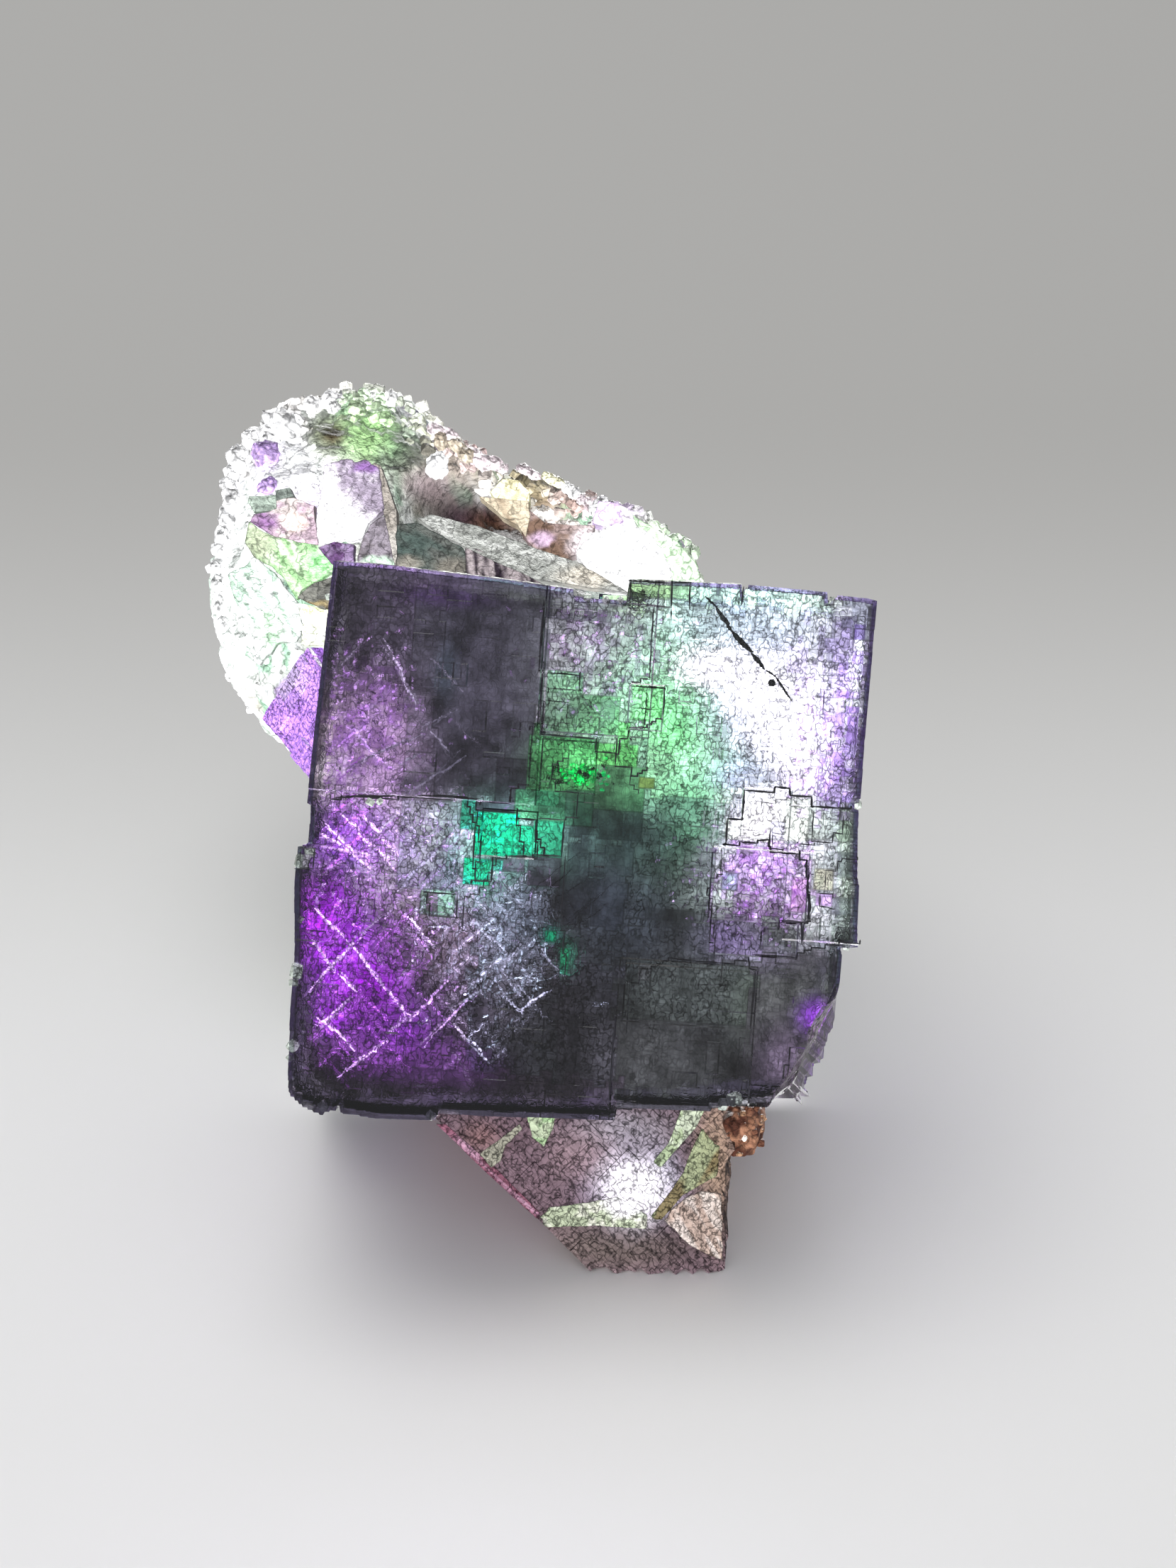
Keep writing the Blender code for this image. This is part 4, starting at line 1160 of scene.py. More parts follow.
def chamferedCube():
    # a cube with its corners and edges cut: 24 points and 26 faces, each cut into triangles
    step = np.array([[x, y, z] for x in (-1, 1) for y in (-1, 1) for z in (-1, 1)], dtype=float)
    points = []
    for axis in range(3):
        inner = np.full(3, 0.72)
        inner[axis] = 1.0
        points.append(step * inner)
    points = np.concatenate(points)
    faces = []
    for axis in range(3):
        for side in (-1, 1):
            ring = [8 * axis + i for i in range(8) if step[i][axis] == side]
            faces.append(ring)
    for first in range(8):
        for axis in range(3):
            if step[first][axis] < 0:
                second = first + (4, 2, 1)[axis]
                others = [k for k in range(3) if k != axis]
                one, other = 8 * others[0], 8 * others[1]
                faces.append([one + first, one + second, other + second, other + first])
    tris = [[first, 8 + first, 16 + first] for first in range(8)]
    out = []
    for ring in faces + tris:
        corner = points[ring]
        centre = corner.mean(axis=0)
        normal = centre / np.linalg.norm(centre)
        side = np.cross(normal, [0.31, 0.52, 0.79])
        side /= np.linalg.norm(side)
        up = np.cross(normal, side)
        angle = np.arctan2((corner - centre) @ up, (corner - centre) @ side)
        ring = np.array(ring)[np.argsort(angle)]
        out += [[ring[0], ring[k], ring[k + 1]] for k in range(1, len(ring) - 1)]
    return points, np.array(out)


def scatterCrystals(name, anchors, sizes, colours, material, seed, squash=1.0):
    # one chamfered cube at each anchor, turned at random, all joined in one mesh
    rng = np.random.default_rng(seed)
    shape, faces = chamferedCube()
    count = len(anchors)
    q = rng.normal(size=(count, 4))
    q /= np.linalg.norm(q, axis=1)[:, None]
    w, x, y, z = q.T
    turn = np.stack([1 - 2 * (y * y + z * z), 2 * (x * y - w * z), 2 * (x * z + w * y),
                     2 * (x * y + w * z), 1 - 2 * (x * x + z * z), 2 * (y * z - w * x),
                     2 * (x * z - w * y), 2 * (y * z + w * x), 1 - 2 * (x * x + y * y)], axis=1)
    turn = turn.reshape(count, 3, 3)
    stretch = rng.uniform(0.75, 1.0, (count, 1, 3)) * np.array([1.0, 1.0, squash])
    local = shape[None] * stretch * sizes[:, None, None]
    points = (np.einsum("nij,nkj->nki", turn, local) + anchors[:, None, :]).reshape(-1, 3)
    allFaces = (faces[None] + np.arange(count)[:, None, None] * len(shape)).reshape(-1, 3)
    shade = np.repeat(colours, len(shape), axis=0)
    makePiece(name, points, allFaces, material, {"zones": np.clip(shade, 0, 1)})


# Colours along the upper rim: middle x, y, radius x, y, colour and strength.
rimTones = [
    (-22.6, 28.0, 3.2, 2.6, white, 1.0), (-15.0, 29.0, 3.2, 2.6, (0.4, 0.58, 0.32), 0.95),
    (-18.0, 28.8, 1.6, 1.3, (0.16, 0.16, 0.1), 0.9), (-11.0, 28.0, 1.8, 2.0, (0.3, 0.32, 0.24), 0.9),
    (-8.0, 27.2, 2.6, 1.8, (0.46, 0.33, 0.32), 0.9), (-4.0, 25.4, 2.4, 1.6, (0.3, 0.25, 0.13), 0.9),
    (-0.5, 24.0, 2.0, 1.6, (0.34, 0.23, 0.2), 0.9), (2.6, 23.0, 1.8, 1.4, (0.66, 0.54, 0.76), 0.9),
    (6.8, 20.6, 3.0, 3.4, (0.56, 0.71, 0.52), 0.95),
]


def makeRimCrystals():
    # small crystals crowd the back's upper rim and its hollow, and some grains stand on its left side
    rng = np.random.default_rng(81)
    onRim, onLeft = 620, 120
    x, y, z = backPoints.T
    rim = np.array([(-25.0, 26.0), (-22.5, 29.5), (-18.0, 31.0), (-13.0, 30.5), (-8.5, 27.5), (-4.0, 25.0),
                    (1.0, 23.0), (5.5, 21.0), (8.0, 18.0)])
    line = np.stack([np.interp(np.linspace(0, 8, 200), np.arange(9), rim[:, k]) for k in (0, 1)], axis=1)
    near = np.full(len(x), 99.0)
    for at in line[::4]:
        near = np.minimum(near, np.hypot(x - at[0], y - at[1]))
    band = np.where((near < 1.7) & (z > -36.0))[0]
    left = np.where((x < -17.0) & (y > 6.0) & (z > -35.0))[0]
    chosen = np.concatenate([rng.choice(band, onRim), rng.choice(left, onLeft)])
    anchors = backPoints[chosen] + rng.normal(0, 0.12, (len(chosen), 3))
    sizes = np.concatenate([rng.uniform(0.18, 0.52, onRim), rng.uniform(0.12, 0.30, onLeft)])
    colours = filled((0.78, 0.76, 0.74), chosen)
    colours = spotsOn(anchors, colours, rimTones) * rng.uniform(0.3, 0.95, (len(chosen), 1))
    colours[onRim:] = 0.88
    scatterCrystals("rim_crystals", anchors, sizes, colours,
                    stoneShader("rimCrystalFluorite", 0.84, 0.2, 1.4), 82)


makeRimCrystals()


# Healed fractures in the large cube: jagged veils along its octahedral planes, and specks between them.
veils = {
    "stations": 30, "length": (1.2, 6.0), "halfWidth": (0.016, 0.042), "depth": (-6.0, -1.2),
    "longHalfWidth": (0.045, 0.080), "longDepth": (-1.6, -0.9),
    "plain": (0.84, 0.80, 0.92), "violet": (0.72, 0.22, 1.0), "longViolet": (0.84, 0.56, 1.0),
    "groups": [  # middle x, y, spread x, y, how many, brightness
        (-14.0, -8.5, 2.4, 4.0, 280, 1.0), (-5.8, -7.0, 2.6, 3.2, 240, 1.0),
        (-12.0, -1.0, 3.6, 1.8, 150, 1.0), (-12.5, 6.5, 3.0, 3.0, 50, 0.5)],
    "speckStations": 7,
    "specks": [  # middle x, y, spread x, y, how many, how many times longer
        (-14.4, 6.6, 1.7, 2.6, 900, 1.0), (-11.5, -2.0, 3.4, 3.0, 450, 1.6),
        (-5.4, -6.2, 2.0, 2.6, 420, 2.6), (0.5, 11.0, 2.6, 3.0, 260, 1.0), (11.4, -1.9, 2.2, 1.7, 420, 1.0)],
    "long": [  # from x, y to x, y, brightness
        (-15.6, 0.9, -11.6, -2.5, 1.0), (-16.5, 0.0, -13.0, -2.6, 1.0), (-16.8, -0.3, -14.7, -1.6, 0.8),
        (-11.6, 1.2, -13.4, -0.6, 0.9), (-7.9, 0.4, -10.0, -2.0, 0.8), (-10.0, -2.0, -11.7, -3.9, 0.9),
        (-11.2, -4.2, -13.8, -6.9, 0.8), (-16.8, -5.1, -14.5, -7.4, 1.0), (-14.5, -7.4, -11.7, -10.3, 1.0),
        (-11.7, -10.3, -10.1, -12.2, 0.9), (-16.8, -7.4, -15.0, -9.3, 0.8), (-15.0, -9.3, -13.7, -10.4, 0.8),
        (-16.8, -10.7, -13.6, -6.5, 0.8), (-16.1, -11.8, -13.4, -14.3, 0.8),
        (-16.2, -13.2, -13.9, -10.8, 0.7), (-14.5, -16.2, -11.5, -13.1, 0.9),
        (-11.5, -13.1, -10.3, -11.8, 0.9), (-10.5, -12.2, -7.7, -9.2, 0.8), (-7.3, -12.0, -4.9, -14.5, 0.7),
        (-11.0, -5.3, -8.8, -7.6, 0.9), (-7.5, -5.5, -9.2, -7.2, 0.8), (-9.2, -7.2, -11.1, -9.4, 0.7),
        (-3.6, -6.4, -5.0, -9.4, 1.0), (-5.0, -9.4, -7.7, -11.2, 0.8), (-4.4, -9.9, -3.1, -10.9, 0.8),
        (-3.1, -10.9, -1.3, -9.5, 0.6), (-2.8, -6.4, -0.6, -8.5, 0.35), (-14.1, 0.8, -11.3, -1.8, 1.0),
        (-14.9, -2.1, -16.9, -3.5, 0.9), (-16.6, -1.4, -13.3, -1.6, 0.8), (-6.5, -5.4, -3.9, -8.1, 0.6),
        (-6.0, -9.2, -4.3, -7.5, 0.9), (-9.2, -13.7, -6.2, -9.9, 0.6), (-13.7, 12.2, -10.8, 7.9, 0.6),
        (-8.5, 8.1, -10.9, 6.3, 0.7), (-10.9, 6.3, -15.4, 3.5, 0.8), (-14.6, 12.1, -16.6, 9.8, 0.5),
        (-7.9, 5.4, -11.2, 2.4, 0.6), (-10.0, 6.3, -8.8, 5.1, 0.4), (-10.6, 5.2, -12.1, 4.1, 0.8),
        (-15.6, 6.6, -12.9, 4.0, 0.8), (-16.1, 5.0, -14.4, 6.7, 0.8)],
}


def jaggedRibbons(start, angle, length, halfWidth, depth, stations, rng, jag=0.16):
    # ribbons along their own direction, sidestepping at random, thin at both ends; all worked out together
    count = len(start)
    along = np.linspace(0, 1, stations)[None, :] * length[:, None]
    steps = rng.normal(0, 1, (count, stations))
    steps = steps * rng.choice([0.2, 1.0, 2.6], (count, stations), p=[0.6, 0.3, 0.1])
    aside = np.cumsum(steps, axis=1)
    aside -= aside.mean(axis=1, keepdims=True)
    aside *= jag / np.maximum(aside.std(axis=1, keepdims=True), 1e-6) * np.sqrt(length[:, None] / 4.0)
    cos, sin = np.cos(angle)[:, None], np.sin(angle)[:, None]
    x = start[:, :1] + along * cos - aside * sin
    y = start[:, 1:2] + along * sin + aside * cos
    taper = np.sin(np.linspace(0.08, math.pi - 0.08, stations))[None, :] ** 0.6
    taper = taper * rng.uniform(0.7, 1.0, (count, stations))
    wide = halfWidth[:, None] * taper
    z = depth[:, None] + 0.15 * aside
    sides = []
    for sign in (-1.0, 1.0):
        sides.append(np.stack([x - sign * wide * sin, y + sign * wide * cos, z + sign * wide * 0.7], axis=2))
    points = np.stack(sides, axis=2).reshape(-1, 3)
    number = np.arange(count * stations * 2).reshape(count, stations, 2)
    quads = np.stack([number[:, :-1, 0], number[:, 1:, 0], number[:, 1:, 1], number[:, :-1, 1]], axis=2)
    return points, quads.reshape(-1, 4)


def strewn(groups, rng):
    # points strewn round each group's middle, and the group's last value for each of them
    at = [np.stack([rng.normal(x, spreadX, many), rng.normal(y, spreadY, many)], axis=1)
          for x, y, spreadX, spreadY, many, _ in groups]
    return np.concatenate(at), np.concatenate([np.full(many, value) for *_, many, value in groups])


def makeVeils():
    part = veils
    rng = np.random.default_rng(91)
    start, share = strewn(part["groups"], rng)
    count = len(start)
    angle = rng.choice([0.25, 0.75, -0.25, -0.75], count) * math.pi + rng.normal(0, 0.06, count)
    length = rng.uniform(*part["length"], count) * rng.uniform(0.3, 1.0, count)
    start = start - 0.5 * length[:, None] * np.stack([np.cos(angle), np.sin(angle)], axis=1)
    start = np.clip(start, (-16.4, -16.2), (2.0, 14.5))
    halfWidth = rng.uniform(*part["halfWidth"], count)
    depth = rng.uniform(*part["depth"], count)
    fading = smooth(-start[:, 0] - 0.5 * length * np.cos(angle), 1.6, 3.4)
    # the long veils are drawn twice, the second time fainter and a little beside
    drawn = np.array(part["long"])
    drawn = np.concatenate([drawn, drawn * np.array([1.0, 1.0, 1.0, 1.0, 0.4])])
    drawn[:, :4] += rng.normal(0, 0.10, (len(drawn), 4))
    drawnAngle, drawnLength = bearing(drawn[:, :2], drawn[:, 2:4])
    start = np.concatenate([start, drawn[:, :2]])
    angle = np.concatenate([angle, drawnAngle])
    length = np.concatenate([length, drawnLength])
    halfWidth = np.concatenate([halfWidth, rng.uniform(*part["longHalfWidth"], len(drawn))])
    depth = np.concatenate([depth, rng.uniform(*part["longDepth"], len(drawn))])
    points, quads = jaggedRibbons(start, angle, length, halfWidth, depth, part["stations"], rng, 0.08)
    points[:, :2] = np.clip(points[:, :2], -16.8, 14.8)
    bright = 0.8 * rng.uniform(0.2, 1.0, count) ** 1.2 * share * fading
    bright = np.concatenate([bright, 0.95 * drawn[:, 4]])
    heads = points[::part["stations"] * 2]
    violet = smooth(-heads[:, 0] - 0.35 * (heads[:, 1] + 8.0), 8.0, 12.0)[:, None]
    violetTint = np.where(np.arange(len(start))[:, None] < count, [part["violet"]], [part["longViolet"]])
    tint = np.array([part["plain"]]) * (1 - violet) + violetTint * violet
    colour = np.repeat(bright[:, None] * tint, part["stations"] * 2, axis=0)

    at, longer = strewn(part["specks"], rng)
    at = np.clip(at, (-16.6, -13.6), 14.6)
    many, stations = len(at), part["speckStations"]
    dotAngle, dotLength = rng.uniform(0, math.pi, many), rng.uniform(0.1, 0.5, many) * longer
    dotWidth, dotDepth = rng.uniform(0.02, 0.07, many) / longer ** 0.5, rng.uniform(-4.0, -0.8, many)
    dots, dotQuads = jaggedRibbons(at, dotAngle, dotLength, dotWidth, dotDepth, stations, rng, 0.09)
    dotTint = np.where(longer[:, None] > 2, np.array([[0.82, 0.92, 1.0]]), np.array([[0.84, 0.58, 1.0]]))
    dotShade = rng.uniform(0.1, 1.0, many)[:, None] ** 1.5 * dotTint
    colour = np.concatenate([colour, np.repeat(dotShade, stations * 2, axis=0)])
    quads = np.concatenate([quads, dotQuads + len(points)])
    points = np.concatenate([points, dots])
    s = Shader("healedVeil")
    s.surface(s.milk(s.shade(s.attribute("glow"), fluorite["milk"])))
    makePiece("healed_veils", inCube(points), quads, s.material, {"glow": colour})


makeVeils()


# The open black crack and the pit beside it, and painted shadow along the dark ledge line across the left
# and round the right plates: from x, y, to x, y, half width, depth.
crackLines = [
    (6.8, 16.35, 7.6, 15.6, 0.09, -0.4), (7.5, 15.7, 8.7, 14.15, 0.17, -0.35),
    (8.65, 14.2, 10.05, 12.9, 0.22, -0.35), (10.0, 12.95, 10.9, 11.9, 0.17, -0.35),
    (11.0, 11.9, 11.6, 11.5, 0.09, -0.35), (11.55, 11.55, 12.8, 10.05, 0.1, -0.35),
    (11.2, 11.2, 11.65, 10.95, 0.3, -0.3), (-15.9, 1.9, -11.7, 2.2, 0.1, 0.1),
    (-11.8, 2.2, -7.7, 2.45, 0.09, 0.1), (14.4, -0.2, 14.68, -1.4, 0.16, -0.5),
    (14.6, -1.3, 14.9, -3.9, 0.11, -0.3), (13.0, -4.15, 14.8, -4.0, 0.08, -0.3),
]


def makeCrack():
    rng = np.random.default_rng(95)
    rows = np.array(crackLines)
    angle, length = bearing(rows[:, :2], rows[:, 2:4])
    points, quads = jaggedRibbons(rows[:, :2], angle, length, rows[:, 4], rows[:, 5], 26, rng, 0.04)
    s = Shader("crackAndStepShadow")
    s.surface(s.skin((0.006, 0.006, 0.008, 1.0), 0.6))
    makePiece("open_crack", inCube(points), quads, s.material)


makeCrack()


# Painted shadow along the steps of the front face, as thin dark ribbons: half width, then the points each
# one runs through.
stepEdges = [
    (0.07, [(9.03, 0.58), (9.2, 0.68), (9.2, 2.23), (10.15, 2.36), (10.15, 4.11), (12.06, 4.36),
            (12.12, 4.48), (13.01, 4.44), (13.1, 3.99), (14.48, 3.99), (14.64, 3.38), (16.22, 3.41),
            (17.02, 3.55)]),
    (0.06, [(9.03, 0.58), (10.08, 0.81), (11.21, 0.99), (11.93, 1.06), (12.08, 0.65), (12.35, 0.3),
            (13.95, 0.5)]),
    (0.06, [(13.95, 0.5), (14.07, -0.06), (14.45, -0.17), (14.58, -1.12), (14.77, -2.08), (14.94, -3.93),
            (14.39, -4.01), (12.96, -4.19), (12.93, -4.6), (12.05, -4.78), (11.86, -4.95), (11.86, -5.52)]),
    (0.04, [(8.99, 0.27), (9.14, -1.34), (8.41, -1.88), (8.58, -2.92), (8.86, -5.73)]),
    (0.05, [(14.39, -4.05), (14.48, -5.34)]),
    (0.04, [(14.66, 3.1), (14.84, 1.17), (15.97, 1.16), (16.01, 1.82), (16.58, 1.77), (16.58, 2.91)]),
    (0.04, [(13.88, 0.94), (14.85, 1.05)]),
    (0.04, [(16.42, -0.59), (16.62, -0.0), (16.69, 0.2), (17.65, 0.35)]),
    (0.04, [(15.39, -2.12), (16.24, -2.1), (16.26, -2.34)]),
    (0.04, [(15.44, -2.19), (15.45, -2.92), (15.94, -2.97), (16.43, -3.06)]),
    (0.03, [(15.71, -2.01), (15.61, -0.64), (16.32, -0.39)]),
    (0.03, [(12.17, 0.49), (12.14, 1.54), (12.87, 1.47)]),
    (0.06, [(-3.62, 7.44), (-3.82, 3.49), (-4.71, 2.95), (-4.72, 2.24), (-6.62, 2.03)]),
    (0.05, [(-3.62, 7.44), (-3.06, 7.48), (-2.87, 6.79), (-1.33, 6.76), (0.5, 6.74), (0.65, 5.91),
            (1.83, 5.91)]),
    (0.05, [(1.82, 6.84), (1.94, 5.07), (2.87, 5.08), (2.99, 4.53), (3.85, 5.15)]),
    (0.04, [(-1.23, 5.36), (-2.17, 4.73), (-1.64, 3.22), (-0.43, 3.22), (-0.32, 1.62), (-1.09, 1.43),
            (-2.92, 1.41)]),
    (0.06, [(-8.33, 2.33), (-6.87, 2.38), (-6.74, 1.68), (-4.22, 1.91), (-4.04, 1.31), (-2.97, 1.3),
            (-2.86, 0.6), (-2.05, -0.94)]),
    (0.06, [(-1.18, 1.42), (-1.21, -0.91), (-3.03, -1.1), (-4.7, -1.3), (-5.58, -1.56), (-5.55, -2.82),
            (-6.83, -3.05)]),
    (0.05, [(-4.22, 1.91), (-3.65, -0.16), (-3.45, -1.04)]),
    (0.05, [(-2.97, 1.3), (-2.76, -0.09), (-3.03, -1.1)]),
    (0.05, [(-6.74, 1.68), (-6.4, -0.35), (-6.64, -1.63), (-6.6, -3.03)]),
    (0.06, [(2.51, 10.26), (4.63, 10.13), (4.47, 8.29), (3.67, 7.67), (2.55, 7.59), (2.46, 6.88),
            (1.99, 6.85), (1.89, 5.86)]),
    (0.04, [(3.5, 10.19), (3.62, 7.66)]),
    (0.03, [(2.6, 8.86), (4.43, 8.85)]),
    (0.06, [(-3.47, 15.32), (-3.21, 10.84), (-2.8, 6.93)]),
    (0.05, [(-3.01, 10.72), (-0.83, 10.87), (-0.69, 9.75), (-2.78, 9.47)]),
    (0.03, [(-2.89, 8.95), (-1.48, 8.94), (-1.33, 7.6), (-2.71, 7.22)]),
    (0.06, [(1.9, 16.96), (4.62, 17.1), (4.68, 15.42), (2.0, 15.51), (1.9, 16.96)]),
    (0.05, [(4.62, 17.01), (5.77, 17.09), (5.83, 15.41)]),
    (0.05, [(3.55, 15.39), (3.58, 13.0), (3.6, 10.76), (2.51, 10.26)]),
    (0.04, [(4.68, 15.33), (4.72, 14.77)]),
    (0.06, [(9.2, 17.05), (9.14, 15.92)]),
    (0.05, [(11.97, 1.64), (11.99, 0.52), (12.84, 0.38)]),
    (0.03, [(13.09, 3.69), (11.3, 3.14)]),
    (0.03, [(2.87, 5.08), (2.81, 3.95), (3.41, 3.43)]),
    (0.05, [(3.71, -11.96), (3.41, -8.64), (4.29, -8.46), (4.3, -7.68), (5.0, -7.52), (6.07, -6.89),
            (7.64, -6.96), (9.42, -6.99), (11.17, -6.49)]),
    (0.05, [(11.17, -6.49), (11.26, -7.2), (11.67, -7.28), (11.79, -10.05), (8.77, -10.38)]),
    (0.04, [(9.51, -6.65), (9.79, -8.41), (8.08, -8.53)]),
    (0.05, [(8.95, -6.69), (8.82, -5.36), (8.23, -2.73), (8.38, -2.28)]),
    (0.05, [(11.38, -6.3), (14.25, -5.99), (15.11, -5.59), (16.86, -5.14), (18.18, -4.93)]),
    (0.05, [(14.53, -5.19), (14.52, -4.07), (14.77, -3.95)]),
    (0.06, [(-16.12, 1.72), (-15.48, 1.99), (-8.25, 2.43), (-7.42, 2.33), (-6.82, 0.88), (-6.62, -2.07)]),
    (0.05, [(-9.8, -3.78), (-7.65, -3.79), (-7.55, -5.27), (-9.37, -5.17), (-9.8, -3.78)]),
    (0.05, [(3.41, -8.63), (3.55, -10.6), (2.91, -10.97), (3.14, -16.56)]),
    (0.05, [(-3.38, 15.31), (-2.99, 7.42), (-3.79, 7.03)]),
    (0.04, [(-0.94, -0.69), (-0.7, -5.62), (-0.23, -8.55)]),
    (0.04, [(-18.11, -2.88), (-16.96, -2.79), (-16.95, -1.47), (-17.87, -1.54)]),
    (0.04, [(-5.35, -1.32), (-6.5, -3.71), (-7.2, -4.09), (-7.06, -6.06)]),
]


def stairs(line):
    # a slanting stretch becomes a flight of steps along the two edge directions
    out = [line[0]]
    for (x0, y0), (x1, y1) in zip(line[:-1], line[1:]):
        alongX, alongY = x1 - x0, y1 - y0
        flights = int(math.ceil(min(abs(alongX), abs(alongY)) / 0.24 - 0.4))
        for step in range(flights):
            low, high = step / flights, (step + 1) / flights
            first, second = (high, low) if abs(alongX) > abs(alongY) else (low, high)
            out += [(x0 + alongX * first, y0 + alongY * second), (x0 + alongX * high, y0 + alongY * high)]
        if flights == 0:
            out.append((x1, y1))
    return out


def makeStepEdges():
    # one ribbon of painted shadow for each stretch between two points of a step line, just in front of the
    # face
    rng = np.random.default_rng(96)
    shadowLines = [(wide, stairs(line)) for wide, line in stepEdges]
    start = np.array([point for _, line in shadowLines for point in line[:-1]])
    end = np.array([point for _, line in shadowLines for point in line[1:]])
    halfWidth = 1.25 * np.array([wide for wide, line in shadowLines for _ in line[1:]])
    angle, length = bearing(start, end)
    overlap = 0.06
    start = start - overlap * np.stack([np.cos(angle), np.sin(angle)], axis=1)
    depth = np.full(len(start), 0.05)
    points, quads = jaggedRibbons(start, angle, length + 2 * overlap, halfWidth, depth, 10, rng, 0.012)
    s = Shader("grooveShadow")
    s.surface(s.skin((0.010, 0.010, 0.014, 1.0), 0.6))
    makePiece("step_edges", inCube(points), quads, s.material)


makeStepEdges()


def makeEdgeCrumbs():
    # pale crumbs left on the large cube's edges
    crumbs = np.array([  # x, y, z, size
        (-17.75, -2.4, -0.6, 0.46), (-17.25, -1.8, -0.4, 0.3), (-17.6, -9.4, -0.5, 0.42),
        (-17.75, -10.2, -0.8, 0.3), (-17.5, -14.2, -0.6, 0.34), (-17.65, -15.0, -0.6, 0.24),
        (17.45, 3.75, -0.3, 0.28), (17.35, -5.4, -0.4, 0.26), (-15.3, -17.9, -0.5, 0.3),
        (10.9, -15.6, -0.4, 0.46), (10.2, -16.0, -0.5, 0.34), (-13.6, 1.7, 0.5, 0.24),
        (-13.0, 1.78, 0.5, 0.2), (-17.2, 14.6, -0.3, 0.2), (-8.4, -18.0, -0.5, 0.3),
        (-0.7, 15.7, -0.4, 0.24), (0.5, 15.6, -0.5, 0.28), (1.4, 15.7, -0.4, 0.2), (14.9, 16.6, -0.4, 0.22),
        (-17.55, -6.1, -0.5, 0.2)])
    tones = filled((0.36, 0.40, 0.36), crumbs) * (0.6 + 0.4 * lattice(crumbs[:, :2], 14))[:, None]
    scatterCrystals("edge_crumbs", inCube(crumbs[:, :3]), crumbs[:, 3], tones,
                    stoneShader("crumbFluorite", 0.6, 0.25, 3.0), 99)


makeEdgeCrumbs()


def makeEdgeLight():
    # a thin pale line of light along two stretches of the large cube's top edge
    rng = np.random.default_rng(94)
    stations = 12
    lines = [np.stack([across, levelAt(across, largeCube["top"]) + 0.03], axis=1)
             for across in (np.linspace(-16.9, -1.7, 15), np.linspace(2.0, 9.0, 6))]
    start, end = np.concatenate([line[:-1] for line in lines]), np.concatenate([line[1:] for line in lines])
    angle, length = bearing(start, end)
    count = len(start)
    halfWidth, depth = rng.uniform(0.03, 0.08, count), np.full(count, -0.15)
    points, quads = jaggedRibbons(start, angle, length + 0.1, halfWidth, depth, stations, rng, 0.015)
    tones = rng.uniform(0.2, 0.6, count)[:, None] * np.array([[0.92, 0.94, 0.88]])
    makePiece("edge_light", inCube(points), quads, stoneShader("edgeFluorite", 0.5, 0.3, 3.0),
              {"zones": np.repeat(tones, stations * 2, axis=0)})


makeEdgeLight()


def makeInclusion():
    # a crumb of tilted emerald flakes under the green plates
    rng = np.random.default_rng(97)
    count = 170
    anchors = np.stack([rng.normal(-0.4, 0.8, count), rng.normal(4.4, 0.36, count),
                        rng.uniform(-3.2, -1.0, count)], axis=1)
    green = np.array([(0.0, 0.36, 0.11), (0.01, 0.60, 0.18), (0.005, 0.14, 0.05), (0.003, 0.01, 0.006)])
    colours = green[rng.choice(4, count, p=[0.3, 0.15, 0.25, 0.3])]
    s = Shader("emeraldFlakes")
    s.surface(s.blend(0.7, s.skin(s.attribute("zones"), 0.15), s.milk(s.attribute("zones"))))
    scatterCrystals("emerald_flakes", inCube(anchors), rng.uniform(0.06, 0.20, count), colours,
                    s.material, 98, squash=0.25)


makeInclusion()


def makeBalls(name, balls, columns, rows, rough, colours, material, seed):
    # lumpy ellipsoids: middle, radii and a turn in degrees each; the lumps are noise on the unit sphere
    around = np.linspace(0, 2 * math.pi, columns, endpoint=False)
    fall = math.pi * np.arange(1, rows) / rows
    fallGrid, aroundGrid = np.meshgrid(fall, around, indexing="ij")
    unit = np.stack([np.sin(fallGrid) * np.cos(aroundGrid), np.sin(fallGrid) * np.sin(aroundGrid),
                     np.cos(fallGrid)], axis=2).reshape(-1, 3)
    unit = np.concatenate([unit, [[0, 0, 1], [0, 0, -1]]])
    faces = ringFaces(rows - 1, columns)
    allPoints, allFaces = [], []
    for index, (x, y, z, radiusX, radiusY, radiusZ, turn) in enumerate(balls):
        lumps = 1.0 + rough * noise(unit * 2, 0.8, seed + index)
        lumps = lumps + 0.45 * rough * noise(unit * 2, 0.3, seed + index + 1)
        local = rolled(unit * lumps[:, None] * np.array([radiusX, radiusY, radiusZ]), math.radians(turn))
        allPoints.append(local + np.array([x, y, z]))
        allFaces.append(faces + index * len(unit))
    tone = smooth(noise(np.tile(unit * 2, (len(balls), 1)), 0.5, seed + 50), -0.4, 0.5)[:, None]
    low, high = colours
    shades = np.repeat(low, len(unit), axis=0) * (1 - tone) + np.repeat(high, len(unit), axis=0) * tone
    points = np.concatenate(allPoints)
    makePiece(name, points, np.concatenate(allFaces), material, {"zones": np.clip(shades, 0, 1)},
              rounded=True)
    return points


